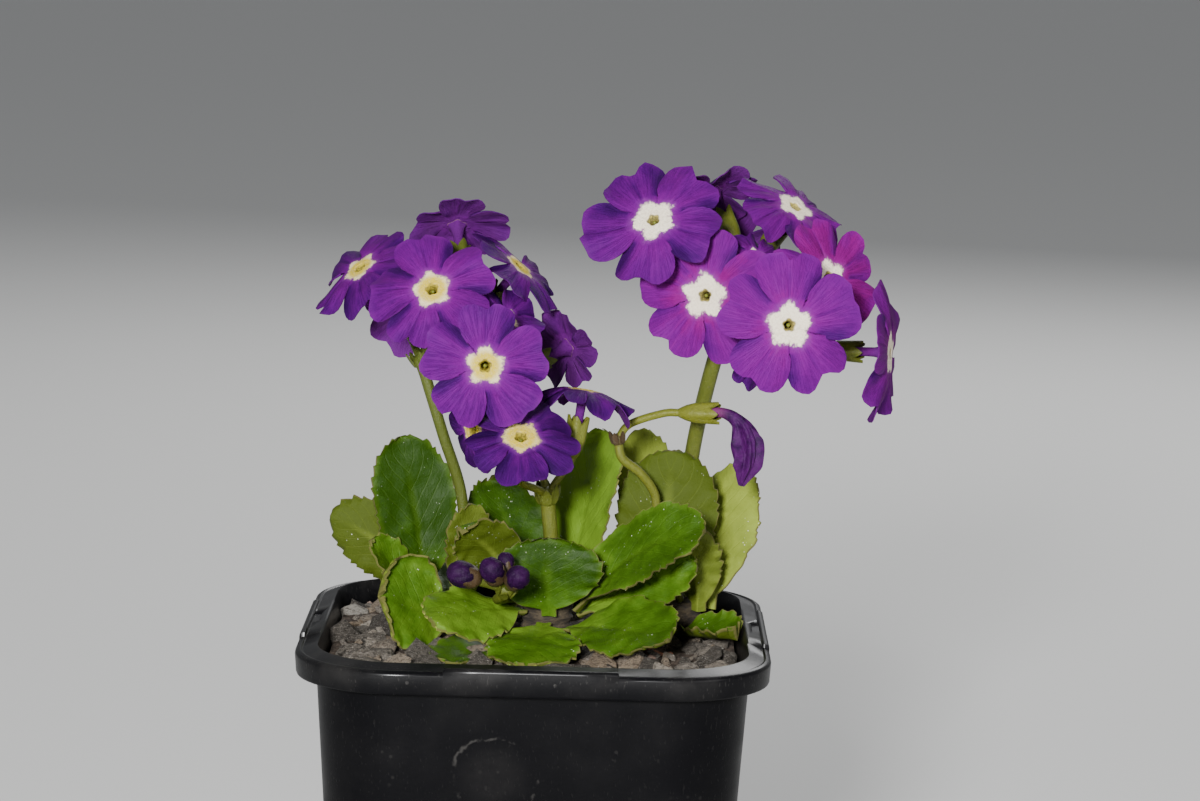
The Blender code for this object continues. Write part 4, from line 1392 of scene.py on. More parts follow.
class Leaf(NamedTuple):
    """A leaf: its seat on its crown, the way it points, its size in millimetres and degrees, and its tone.

    arch turns it down along its length, cup lifts its margins, and twist turns it about its midrib. upper is
    -1 where the leaf stands with its upper side to what its frame calls its back. roll turns one margin over,
    in degrees: the right one where it is above 0, and the left one below.
    """

    name: str
    crown: str
    seat: float
    height: float
    azimuth: float
    elevation: float
    length: float
    width: float
    twist: float
    arch: float
    cup: float
    tone: float
    upper: int = 1
    roll: float = 0.0


LEAVES = (
    Leaf("leaf_left_upright", "left", 150, 100, 165, 79, 33, 17, -52, 14, 0.12, -0.12),
    Leaf("leaf_left_low", "left", -75, 97.5, -150, 21, 17, 21, -58, 16, 0.12, 0.55, 1, -110),
    Leaf("leaf_left_pale", "left", 115, 99, 172, 36, 27.5, 14, 88, 40, 0.15, 0.02),
    Leaf("leaf_left_small", "left", 205, 98.5, 192, 54, 18, 10, -40, 10, 0.25, 0.55),
    Leaf("leaf_left_inner", "left", -40, 100, -60, 86, 21, 10, 0, 4, -0.1, 0.45),
    Leaf("leaf_middle_back", "centre", 125, 100, 128, 54, 27, 16, -12, 24, 0.2, 0.12),
    Leaf("leaf_curled_up", "centre", 185, 101, -138, 45, 23, 13, 48, 70, -0.15, -0.2),
    Leaf("leaf_centre", "centre", -85, 100, -98, 80, 16.5, 21, 14, -30, -0.12, 0.06, -1),
    # This leaf's high tone is partly its own paler, mealy green and partly a painted sheen.
    Leaf("leaf_centre_tall", "centre", 50, 100, 54, 70, 35.5, 17.5, -14, 8, 0.12, 1.1),
    Leaf("leaf_right_broad", "centre", -15, 100.5, -20, 32, 32.5, 16.5, 46, 44, 0.15, 0.32),
    Leaf("leaf_right_dark", "centre", 15, 99, -12, 24, 26, 13, 60, 16, 0.15, 0.52),
    Leaf("leaf_front_right", "centre", -55, 97.3, -38, 2, 26, 17.5, 28, 22, 0.12, 0.42),
    Leaf("leaf_front", "centre", -94, 98.4, -98, -13, 21, 18, 0, 10, 0.05, 0.52),
    Leaf("leaf_front_left", "centre", -143, 100.5, -140, -0.5, 22.5, 16, -26, 20, -0.06, 0.8),
    Leaf("leaf_lowest", "centre", -150, 94.6, -127, -2, 25, 13, -8, 2, 0.1, 0.4),
    Leaf("leaf_right_round", "right", -155, 97.5, 180, 94.5, 33, 20, 88, 8, 0.12, 0.0),
    Leaf("leaf_right_back", "right", 10, 98, 69, 68, 30, 17, -20, 12, -0.15, 0.7, -1),
    Leaf("leaf_right_small", "right", -50, 99, -110, 73, 17, 10, 15, 12, 0.2, 0.5),
    Leaf("leaf_right_rolled", "right", -95, 95, -37, 2, 15, 11, 10, 6, 0.5, 0.3),
    Leaf("leaf_right_pale", "right", 170, 98, 165, 83, 28.5, 11, 90, 6, 0.12, 0.9, -1),
    Leaf("leaf_rear_left", "left", 80, 96.5, 105, 24, 26, 17, 0, 24, 0.15, 0.4),
    Leaf("leaf_rear_centre", "centre", 85, 97, 92, 22, 28, 18, 0, 26, 0.15, 0.5),
    Leaf("leaf_rear_right", "right", 118, 97, 117, 71, 37, 15, 0, 8, -0.12, 0.75, -1),
)


@dataclass
class Foliage:
    """The leaves: a short winged stalk, a broad toothed blade, a keel below and a channel above."""

    thick: float = 0.8 * MM
    midrib: float = 1.1 * MM
    petiole_half: float = 1.5 * MM
    twist_share: float = 0.22
    blade_start: float = 0.1
    blade_fullness: float = 2.4
    blade_widest: float = 0.6
    tip_share: float = 0.05
    ripple: float = 0.06
    ripple_waves: float = 2.2
    frill: float = 0.28 * MM
    frill_waves: float = 6.3
    puff: float = 0.45 * MM
    shape_share: float = 0.2
    coarse: int = 10
    rows: int = 92
    columns: int = 29
    tooth_pitch: float = 2.3 * MM
    tooth_depth: float = 0.88 * MM
    roll_start: float = 0.74
    teeth_start: float = 0.3
    keel: float = 0.7 * MM
    channel: float = 0.3 * MM

    def half(self, leaf: Leaf, share: Values) -> Values:
        """Works out half of a leaf's width along it.

        Args:
            leaf: The leaf.
            share: The places along it, from 0 to 1.

        Returns:
            Half the width at each place.
        """
        blade = (share - self.blade_start) / (1 - self.blade_start)
        peak = leaf.width / 2 * MM
        rise = np.clip(blade / self.blade_widest, 0, 1)
        fall = np.clip((blade - self.blade_widest) / (1 - self.blade_widest), 0, 1)
        grown = self.petiole_half + (peak - self.petiole_half) * (1 - (1 - rise) ** self.blade_fullness)
        closed = peak * np.maximum(np.sqrt(1 - fall**2), self.tip_share)
        return np.where(blade < self.blade_widest, grown, closed)

    def spine(self, leaf: Leaf) -> tuple[Points, Points, Points]:
        """Draws a leaf's midrib as its solid has it.

        Args:
            leaf: The leaf.

        Returns:
            The points along it, and the sideways direction and the normal at each.
        """
        crown = CROWNS[leaf.crown]
        out = heading(leaf.seat, 0)
        foot_side = heading(leaf.azimuth + 90, 0)
        reach = crown.radius * MM + GAP + self.thick / 2 + self.petiole_half * abs(foot_side.dot(out))
        point = mm(crown.x, crown.y, leaf.height) + out * reach
        points, sides, normals = [], [], []
        for i in range(self.coarse + 1):
            share = i / self.coarse
            tangent = heading(leaf.azimuth, leaf.elevation + leaf.arch * (0.5 - share))
            angle = math.radians(leaf.twist) * min(1, share / self.twist_share)
            side = np.array(Matrix.Rotation(angle, 3, Vector(tangent)) @ Vector(foot_side))
            points.append(point)
            sides.append(side)
            normals.append(np.cross(tangent, side))
            point = point + tangent * leaf.length * MM / self.coarse
        return np.array(points), np.array(sides), np.array(normals)

    def teeth(self, leaf: Leaf, share: Values, seed: int) -> tuple[Values, Values]:
        """Works out how far one margin's teeth move it.

        Args:
            leaf: The leaf.
            share: The places along it, from 0 to 1.
            seed: Another for each margin.

        Returns:
            The move along the leaf and the move out from the midrib, at each place.
        """
        along, half = share * leaf.length * MM, self.half(leaf, share)
        step = np.hypot(np.gradient(along), np.gradient(half))
        run = np.cumsum(step)
        wander = np.array([noise.noise(Vector((r * 260, seed * 3.7, leaf.seat))) for r in run])
        saw = np.mod(run / self.tooth_pitch + 0.8 * wander + 0.37 * seed, 1.0)
        depth = self.tooth_depth * smooth(share, self.teeth_start, self.teeth_start + 0.15)
        depth *= 0.75 + 0.5 * wander
        push = depth * (saw**1.3 - 0.45) * (1 - smooth(share, 0.995, 1.0))
        out_along, out_side = -np.gradient(half) / step, np.gradient(along) / step
        return push * out_along, push * out_side

    def surface(self, leaf: Leaf, index: int) -> tuple[Values, ...]:
        """Lays out the leaf's middle surface as a grid.

        Args:
            leaf: The leaf.
            index: Its number, which its teeth and bumps follow from.

        Returns:
            At each point: the place, the normal, the way out from the midrib in metres, the share of the
            length, the share of the width, and the distance to the margin in millimetres.
        """
        share = np.sin(np.linspace(0, 0.985, self.rows) * math.pi / 2)
        across = np.sin(np.linspace(-1, 1, self.columns) * math.pi / 2)
        half = self.half(leaf, share)
        left, right = self.teeth(leaf, share, 2 * index), self.teeth(leaf, share, 2 * index + 1)
        edge = np.abs(across) ** 6
        a = across[None, :]
        on_left = a < 0
        x = share[:, None] * leaf.length * MM + edge * np.where(on_left, left[0][:, None], right[0][:, None])
        y = a * half[:, None] + np.sign(a) * edge * np.where(on_left, left[1][:, None], right[1][:, None])
        spine, sides, normals = self.spine(leaf)
        place = (x / (leaf.length * MM) * self.coarse).ravel()
        shape = x.shape + (3,)
        base = through(spine, place).reshape(shape)
        side = unit(through(sides, place)).reshape(shape)
        normal = unit(through(normals, place)).reshape(shape)
        grown = np.clip((share - self.blade_start) / self.shape_share, 0, 1)[:, None]
        wave = self.ripple * np.sin(TURN * self.ripple_waves * share + leaf.seat)[:, None] * np.abs(a) ** 3
        lift = (leaf.cup * a**2 + wave) * leaf.width / 2 * MM * grown
        frill = np.sin(TURN * self.frill_waves * share + 1.7 * index)[:, None] * np.abs(a) ** 4 * np.sign(a)
        spots = [Vector((u * 210, v * 210, index * 9.1 + 3)) for u, v in zip(x.ravel(), y.ravel())]
        puff = np.array([noise.fractal(spot, 0.7, 2.0, 2) for spot in spots]).reshape(x.shape)
        lift += grown * (frill * self.frill + self.puff * puff * (1 - a**8))
        if leaf.roll:
            y, lift = self.rolled(leaf, half[:, None], y, lift, grown)
        points = base + side * y[..., None] + normal * lift[..., None]
        if leaf.roll:
            normal = unit(np.cross(np.gradient(points, axis=0), np.gradient(points, axis=1)))
        rim = np.minimum((1 - np.abs(a)) * half[:, None], (1 - share[:, None]) * leaf.length * MM) / MM
        return points, normal, y, np.broadcast_to(share[:, None], x.shape), np.broadcast_to(a, x.shape), rim

    def rolled(
        self, leaf: Leaf, half: Values, y: Values, lift: Values, grown: Values
    ) -> tuple[Values, Values]:
        """One margin turned over along an arc.

        Args:
            leaf: The leaf.
            half: Half its width along it.
            y: The way out from the midrib at each point.
            lift: The height over the midrib at each point.
            grown: How far the blade has grown along it, from 0 to 1.

        Returns:
            The new way out and height.
        """
        way, angle = math.copysign(1, leaf.roll), math.radians(abs(leaf.roll))
        reach = (1 - self.roll_start) * half / angle
        over = np.maximum(y * way - self.roll_start * half, 0)
        turned = over / reach * grown
        flat = np.minimum(y * way, self.roll_start * half) + (1 - grown) * over
        return way * (flat + reach * np.sin(turned)), lift + reach * (1 - np.cos(turned))

    def build(self, leaf: Leaf, index: int, material: Material) -> Piece:
        """Makes one leaf.

        Args:
            leaf: The leaf.
            index: Its number, which its teeth and bumps follow from.
            material: Its finish.

        Returns:
            The leaf's piece.
        """
        points, normal, y, share, across, rim = self.surface(leaf, index)
        middle = np.exp(-((y / self.midrib) ** 2)) * (1 - smooth(share, 0.3, 0.95))
        body = self.thick / 2 * (1 - 0.5 * across**8)
        above, beneath = body - self.channel * middle, body + self.keel * middle
        if leaf.upper < 0:
            above, beneath = beneath, above
        front = points + normal * above[..., None]
        back = points - normal * beneath[..., None]
        form = Form()
        shell, faces = plate(front, back)
        uv = np.stack([(across + 1) / 2, share], -1).reshape(-1, 2)
        below = np.repeat((0.0, 1.0) if leaf.upper > 0 else (1.0, 0.0), rim.size)
        margin = np.tile(rim.ravel(), 2)
        form.add(shell, faces, np.concatenate([uv, uv]), below=below, tone=leaf.tone, margin=margin)
        return dress(form.build(leaf.name + "_blade", material), leaf.name)


# Flowers


class Flower(NamedTuple):
    """A flower: the centre of its face, the way it faces, its radius and its tone.

    spin turns its first petal, in degrees, and reflex bends the petals back, as a share of the radius.
    """

    name: str
    face: Place
    azimuth: float
    elevation: float
    radius: float
    spin: float
    reflex: float
    tone: float


class Umbel(NamedTuple):
    """A flower stem: the points that its scape passes through, its radius and tone, and its flowers.

    warm says how yellow their eyes are, and eye how wide, as a share of the petals.
    """

    name: str
    scape: tuple[Place, ...]
    radius: float
    slot: Slot
    warm: float
    eye: float
    tone: float
    flowers: tuple[Flower, ...]


UMBELS = (
    Umbel(
        "left_umbel_stem",
        (
            (-16, 5.4, 101.5), (-14.5, 5, 109), (-15.3, 4, 122),
            (-18.9, 1, 134), (-21.6, 0, 142.7), (-23.4, 0, 148.4),
        ),
        1.1,
        Slot.VIOLET,
        1.05,
        0.265,
        0.0,
        (
            Flower("flower_left_main", (-10.3, -22, 150.9), -88, 5, 12.4, 0, 0.04, 0.52),
            Flower("flower_left_upper", (-20.9, -14, 164.2), -100, 34, 12.6, 18, 0.08, 0.56),
            Flower("flower_left_outer", (-35.6, 2, 166.1), -143, 48, 12.0, 10, 0.1, 0.45),
            Flower("flower_left_between", (-7, -10, 158.5), -55, 42, 8.5, 20, 0.12, 0.4),
            Flower("flower_left_crown", (-17.4, 10.4, 174), 100, 42, 10.4, 0, 0.12, 0.35),
            Flower("flower_left_high", (-4.7, 2, 167.1), -13, 50, 11.2, 30, 0.08, 0.4),
            Flower("flower_left_side", (4.7, 7.5, 150.9), 46, 16, 8.6, 10, 0.1, 0.4),
            Flower("flower_left_rear", (-25, 20, 158), 105, 12, 11.5, 0, 0.1, 0.5),
        ),
    ),
    Umbel(
        "middle_umbel_stem",
        ((3, -1, 102.05), (2.8, -3.4, 112), (1.7, -5, 123.3)),
        1.45,
        Slot.VIOLET,
        1.3,
        0.285,
        0.4,
        (
            Flower("flower_middle_front", (-3.3, -21, 137.4), -88, 48, 11.5, -36, 0.08, 0.27),
            Flower("flower_middle_low", (-12.8, -9.4, 136.8), -140, 0, 8.8, 0, 0.1, 0.25),
            Flower("flower_middle_side", (8.2, -4, 144.3), 40, 80, 11.0, 20, 0.25, 0.35),
        ),
    ),
    Umbel(
        "right_umbel_stem",
        ((28.6, 16, 100.5), (29.2, 16.5, 120), (30.2, 15, 131), (32.5, 10, 144), (35.5, 6, 157)),
        1.5,
        Slot.MAGENTA,
        0.12,
        0.27,
        0.3,
        (
            Flower("flower_right_main", (46.5, -20, 159.8), -85, 8, 14.2, 0, 0.03, 0.7),
            Flower("flower_right_inner", (30.9, -9, 163.7), -105, 5, 14.0, 0, 0.05, 0.76),
            Flower("flower_right_upper", (20.7, -7, 177.7), -108, 34, 14.2, -35, 0.06, 0.52),
            Flower("flower_right_shoulder", (54.7, -4.3, 167.2), -60, 12, 11.8, 10, 0.1, 0.95),
            Flower("flower_right_top", (48.3, 6, 179.7), -45, 50, 12.0, 20, 0.15, 0.6),
            Flower("flower_right_crown", (32.5, 16, 181.5), 120, 45, 9.5, 0, 0.12, 0.55),
            Flower("flower_right_hidden", (40.5, -4, 170.8), -60, 40, 6.5, 0, 0.1, 0.5),
            Flower("flower_right_outer", (67.3, 1.6, 152.2), -12, 0, 14.0, 0, 0.06, 0.72),
            Flower("flower_right_low", (43, 9, 150), -50, -10, 7.4, 0, 0.15, 0.4),
            Flower("flower_right_rear", (36, 27, 167), 92, 14, 12.0, 0, 0.1, 0.6),
        ),
    ),
)


def flower_frame(flower: Flower) -> Matrix:
    """Sets up the frame of a flower's face.

    Args:
        flower: The flower.

    Returns:
        The frame: +Z the way the flower faces, and +Y towards its first petal.
    """
    facing = Vector(heading(flower.azimuth, flower.elevation))
    level = Vector((-facing.y, facing.x, 0)).normalized()
    turn = Matrix((level, facing.cross(level), facing)).transposed()
    spin = Matrix.Rotation(math.radians(flower.spin), 3, "Z")
    return Matrix.Translation(Vector(flower.face) * MM) @ (turn @ spin).to_4x4()


@dataclass
class Corolla:
    """An open flower: a slender tube, a raised throat, a stigma, and five notched petals that overlap."""

    petals: int = 5
    tube_length: float = 11 * MM
    tube_radius: float = 0.85 * MM
    throat: float = 1.6 * MM
    notch: float = 0.1
    notch_spread: float = 0.17
    cleft: float = 0.28
    seam: float = 0.5
    overlap: float = 0.57
    bow: float = 0.05
    lap: float = 0.45 * MM
    thick: float = 0.34 * MM
    stigma: float = 0.4 * MM
    style: float = 0.15 * MM
    rows: int = 22
    columns: int = 23
    sides: int = 30

    def petal(self, flower: Flower, k: int, rng: Random) -> tuple[Points, Points, Values, Values]:
        """Shapes one petal.

        Args:
            flower: The flower.
            k: The petal's number.
            rng: Where what sets it apart comes from.

        Returns:
            Its front and back grids in the flower's frame, and its turn and share at each point.
        """
        radius = flower.radius * MM
        a = np.sin(np.linspace(-1, 1, self.columns) * math.pi / 2 * 0.96) / math.sin(math.pi / 2 * 0.96)
        b = np.linspace(0, 1, self.rows) ** 0.85
        tip = a * self.overlap * rng.uniform(0.92, 1.08)
        lean = rng.uniform(-0.15, 0.15)
        size = 1 + rng.uniform(-0.08, 0.025)
        spread = self.notch_spread * rng.uniform(0.7, 1.4)
        notch = self.notch * rng.uniform(0.4, 1.9) * np.exp(-(((a - lean * 0.5) / spread) ** 2))
        scallop = 0.017 * np.sin(a * 9 + rng.uniform(0, TURN)) + 0.011 * np.sin(a * 17 + rng.uniform(0, TURN))
        narrowing = self.cleft * (2 * np.abs(tip)) ** 5.2
        reach = size * (1 - notch - narrowing + lean * 0.12 * a + scallop * (1 - np.abs(a)))
        inner = self.throat * 0.85
        r = inner + (radius * reach[None, :] - inner) * b[:, None]
        share = r / radius
        turn = a * self.seam + (tip - a * self.seam) * smooth(share, 0.28, 0.5)
        swing = rng.uniform(-0.05, 0.05) * smooth(share, 0.28, 1)
        angle = math.radians(90) + TURN * (k + swing + turn) / self.petals
        height = (self.bow * np.cos(TURN * np.clip(turn, -0.5, 0.5)) - flower.reflex) * share**2 * radius
        height += self.lap * a[None, :] * smooth(share, 0.28, 0.5)
        wild = 0.7 + 9 * flower.reflex
        phase, flutter = rng.uniform(0, TURN), rng.uniform(0.6, 1.3) * 0.04 * wild * radius
        height += rng.uniform(-0.09, 0.04) * wild * radius * smooth(share, 0.32, 1.0)
        height += flutter * np.sin(a * 5.2 + phase)[None, :] * share**3
        bend = wild * radius * smooth(share, 0.32, 1.0)
        height -= rng.uniform(-0.04, 0.1) * bend * (a**2)[None, :]
        height += rng.uniform(-0.06, 0.06) * bend * a[None, :]
        height += rng.uniform(0.5, 1.0) * 0.022 * bend * np.sin(a * 11 + phase * 2)[None, :]
        curl = rng.uniform(-0.16, 0.06) * radius
        height += curl * np.maximum(share - 0.55, 0) ** 2 * 4
        height -= 0.025 * radius * np.exp(-((a / 0.1) ** 2))[None, :] * smooth(share, 0.3, 0.6)
        grid = np.stack([r * np.cos(angle), r * np.sin(angle), height], -1)
        normal = unit(np.cross(np.gradient(grid, axis=0), np.gradient(grid, axis=1)))
        body = self.thick / 2 * (1 - 0.55 * smooth(share, 0.6, 1.0))
        return grid + normal * body[..., None], grid - normal * body[..., None], turn, share

    def build(self, flower: Flower, umbel: Umbel, seed: int, materials: Sequence[Material]) -> Piece:
        """Makes one flower.

        Args:
            flower: The flower.
            umbel: The umbel that it belongs to.
            seed: Another for each flower.
            materials: The petals' finish and the green one.

        Returns:
            The flower's piece.
        """
        rng = Random(seed)
        frame = flower_frame(flower)
        shared = {"tone": flower.tone, "warm": umbel.warm, "eye": umbel.eye}
        form = Form()
        for k in range(self.petals):
            front, back, turn, share = self.petal(flower, k, rng)
            points, faces = plate(front, back)
            uv = np.stack([turn + 0.5, share], -1).reshape(-1, 2)
            below = np.concatenate([np.zeros(share.size), np.ones(share.size)])
            shared["tone"] = flower.tone + rng.uniform(-0.05, 0.05)
            form.add(placed(points, frame), faces, np.concatenate([uv, uv]), below=below, **shared)
        self.add_tube(form, frame, flower, umbel)
        return dress(form.build(flower.name + "_corolla", *materials), flower.name)

    def add_tube(self, form: Form, frame: Matrix, flower: Flower, umbel: Umbel) -> None:
        """Adds the tube, with its throat's five-lobed lip, and the stigma inside it.

        Args:
            form: What it is added to.
            frame: The frame of the flower's face.
            flower: The flower.
            umbel: The umbel that it belongs to.
        """
        t, n = self.throat, self.tube_radius
        low, deep_in = -self.tube_length, -6 * MM
        outside = [(0, low), (n * 0.8, low), (n, low + 0.3 * MM), (n, deep_in)]
        outside += [(n * 1.1, -3 * MM), (t * 0.85, -1.1 * MM)]
        lip = [(t * 1.1, -0.3 * MM), (t * 1.2, 0.02 * MM), (t * 1.05, 0.16 * MM), (t * 0.85, 0.12 * MM)]
        inside = [(t * 0.68, -0.1 * MM), (t * 0.52, -0.7 * MM), (n * 0.8, -2.2 * MM)]
        inside += [(n * 0.6, deep_in), (0, -6.4 * MM)]

        def lobes(radius: Values, height: Values, turns: Values) -> tuple[Values, Values]:
            """Gives the lip its five lobes."""
            near = smooth(height, -1.2 * MM, 0.2 * MM)
            return radius * (1 + 0.14 * near * np.cos(5 * (turns - math.radians(90)))), height

        points, faces = lathe(outside + lip + inside, self.sides, frame, lobes)
        counts = np.array((len(outside), len(lip) - 1, len(inside) - 1)) * self.sides
        below = np.append(np.repeat((1.0, 0.0, 0.0), counts), (1.0, 0.0))
        deep = np.append(np.repeat((0.0, 0.0, 1.0), counts), (0.0, 1.0))
        uv = np.full((len(points), 2), (0.5, 0.12))
        form.add(points, faces, uv, below=below, deep=deep, tone=flower.tone, warm=umbel.warm, eye=umbel.eye)
        turns = np.linspace(0, math.pi, 8)
        ball = [(self.stigma * math.sin(a), -1.05 * MM - 0.34 * MM * math.cos(a)) for a in turns]
        points, faces = lathe(ball, 14, frame)
        form.add(points, faces, slot=1, tone=0.8, dry=0.0)
        rod = [(0, deep_in), (self.style, deep_in), (self.style, -1.2 * MM), (0, -1.2 * MM)]
        points, faces = lathe(rod, 8, frame)
        form.add(points, faces, slot=1, tone=0.9, dry=0.0)


@dataclass
class Stems:
    """The green stems: scapes, knobs with bracts, stalks, and cups with five teeth."""

    tube_length: float = 11 * MM
    calyx_length: float = 5 * MM
    calyx_inner: float = 1.35 * MM
    calyx_wall: float = 0.5 * MM
    calyx_floor: float = 1.2 * MM
    calyx_tooth: float = 0.8 * MM
    pedicel_radius: float = 0.75 * MM
    knob_radius: float = 2.5 * MM
    bracts: int = 6
    steps: int = 26
    sides: int = 40

    def calyx(
        self,
        form: Form,
        foot: Matrix,
        scale: float = 1.0,
        tooth: float = 1.0,
        tone: float = 0.7,
        dry: float = 0.0,
    ) -> None:
        """Adds a cup that stands on a frame, with its five teeth up.

        Args:
            form: What it is added to.
            foot: The frame of the tube's foot.
            scale: Its size beside that of an open flower's cup.
            tooth: The length of its teeth beside those of an open flower's cup.
            tone: How pale it is.
            dry: How brown it is.
        """
        outer = 1.05 * (self.calyx_inner + self.calyx_wall)
        top, inner = self.calyx_length, self.calyx_inner * 1.05
        stalk, base = self.pedicel_radius, self.calyx_floor
        profile = [(0, -2 * base), (0.9 * stalk, -2 * base), (1.3 * stalk, -1.6 * base)]
        profile += [(0.8 * outer, -0.6 * MM), (outer, 1 * MM)]
        profile += [(outer * (1 + 0.02 * i), 1 * MM + (top - 1 * MM) * i / 4) for i in range(1, 5)]
        profile += [(inner * 1.12, top), (inner, top * 0.6), (inner, 0.8 * MM), (0, -GAP)]

        def teeth(radius: Values, height: Values, turns: Values) -> tuple[Values, Values]:
            """Draws the cup's wall out into five teeth, with a ridge below each."""
            phase = np.abs(np.mod(turns * 5 / TURN, 1.0) - 0.5) * 2
            near = smooth(height, 0.35 * top, top)
            point = (1 - phase) ** 0.8 * 2 - 1
            ridge = 1 + 0.06 * np.cos(5 * turns + math.pi) * smooth(height, -1 * MM, 2 * MM)
            height = height + near * point * self.calyx_tooth * 1.15 * tooth
            return radius * ridge * (1 + 0.04 * near * point), height

        points, faces = lathe(profile, self.sides, foot @ Matrix.Scale(scale, 4), teeth)
        form.add(points, faces, tone=tone, dry=dry)

    def stalk(self, form: Form, path: Points, radii: Values, tone: float, dry: float = 0.0) -> None:
        """Adds a round stalk along a path, with a radius at each of its points."""
        points, faces = sweep(path, radii, 16, 0.03)
        form.add(points, faces, tone=tone, dry=dry)

    def knob(
        self,
        form: Form,
        head: Points,
        facing: Points,
        radius: float,
        seed: int,
        tone: float,
        dry: float = 0.0,
    ) -> None:
        """Adds the swelling where the stalks part, with small pointed bracts round it.

        Args:
            form: What it is added to.
            head: The place of its centre.
            facing: The way that the stem runs there.
            radius: Its radius.
            seed: Where what sets its bracts apart comes from.
            tone: How pale it is.
            dry: How brown it is.
        """
        rng = Random(seed)
        ball = [(radius * math.sin(a), -radius * 1.05 * math.cos(a)) for a in np.linspace(0, math.pi, 13)]
        points, faces = lathe(ball, 24, frame_at(head, facing))
        form.add(points, faces, tone=tone, dry=dry)
        for k in range(self.bracts):
            spin = TURN * k / self.bracts + rng.uniform(-0.3, 0.3)
            length = radius * rng.uniform(1.5, 2.1)
            u = np.linspace(0, 1, 9)[:, None]
            v = np.linspace(-1, 1, 5)[None, :]
            wide = radius * 0.42 * np.sin(np.pi * np.clip(u * 0.85 + 0.14, 0, 1)) ** 0.8 + 0.05 * MM
            flare = rng.uniform(0.25, 0.6)
            out = radius * 0.86 + u * length * flare * 0.6 + 0.12 * wide * v**2
            grid = np.stack(np.broadcast_arrays(out, wide * v, u * length - radius * 0.5), -1)
            frame = frame_at(head, facing, spin)
            shell, faces = plate(grid - (0.12 * MM, 0, 0), grid + (0.16 * MM, 0, 0))
            form.add(placed(shell, frame), faces, tone=tone, dry=dry + 0.25)

    def umbel(self, umbel: Umbel, seed: int, material: Material) -> Piece:
        """Makes one umbel's stem.

        Args:
            umbel: The umbel.
            seed: Where what sets its bracts apart comes from.
            material: Its finish.

        Returns:
            The stem's piece.
        """
        form = Form()
        count = self.steps * 2
        path = path_through(umbel.scape, count)
        share = np.linspace(0, 1, count + 1)
        swell = 1 + 0.12 * np.exp(-12 * share) + 0.1 * smooth(share, 0.9, 1)
        self.stalk(form, path, umbel.radius * MM * swell, umbel.tone)
        head = path[-1]
        knob_radius = self.knob_radius * 0.8 * min(1.0, umbel.radius / 1.45)
        self.knob(form, head, path[-1] - path[-3], knob_radius, seed, umbel.tone - 0.1)
        for flower in umbel.flowers:
            frame = flower_frame(flower)
            foot = frame @ Matrix.Translation((0, 0, -self.tube_length))
            end = np.array(foot @ Vector((0, 0, -self.calyx_floor)))
            facing = np.array((frame.to_3x3() @ Vector((0, 0, 1))).normalized())
            reach = float(np.linalg.norm(end - head))
            first = head + unit(end - head) * reach * 0.35 + np.array((0, 0, 0.1 * reach))
            last = end - facing * reach * 0.3
            t = np.linspace(0, 1, self.steps)[:, None]
            route = head * (1 - t) ** 3 + first * 3 * t * (1 - t) ** 2
            route += last * 3 * t**2 * (1 - t) + end * t**3
            radii = self.pedicel_radius * (1 + 0.25 * smooth(t[:, 0], 0.8, 1.0))
            self.stalk(form, route, radii, umbel.tone + 0.15)
            self.calyx(form, foot, tone=umbel.tone + 0.15, dry=0.2)
        return dress(form.build(umbel.name + "_green", material), umbel.name)


# Buds


class Bud(NamedTuple):
    """A closed bud: its centre and its radius, in millimetres."""

    name: str
    centre: Place
    radius: float


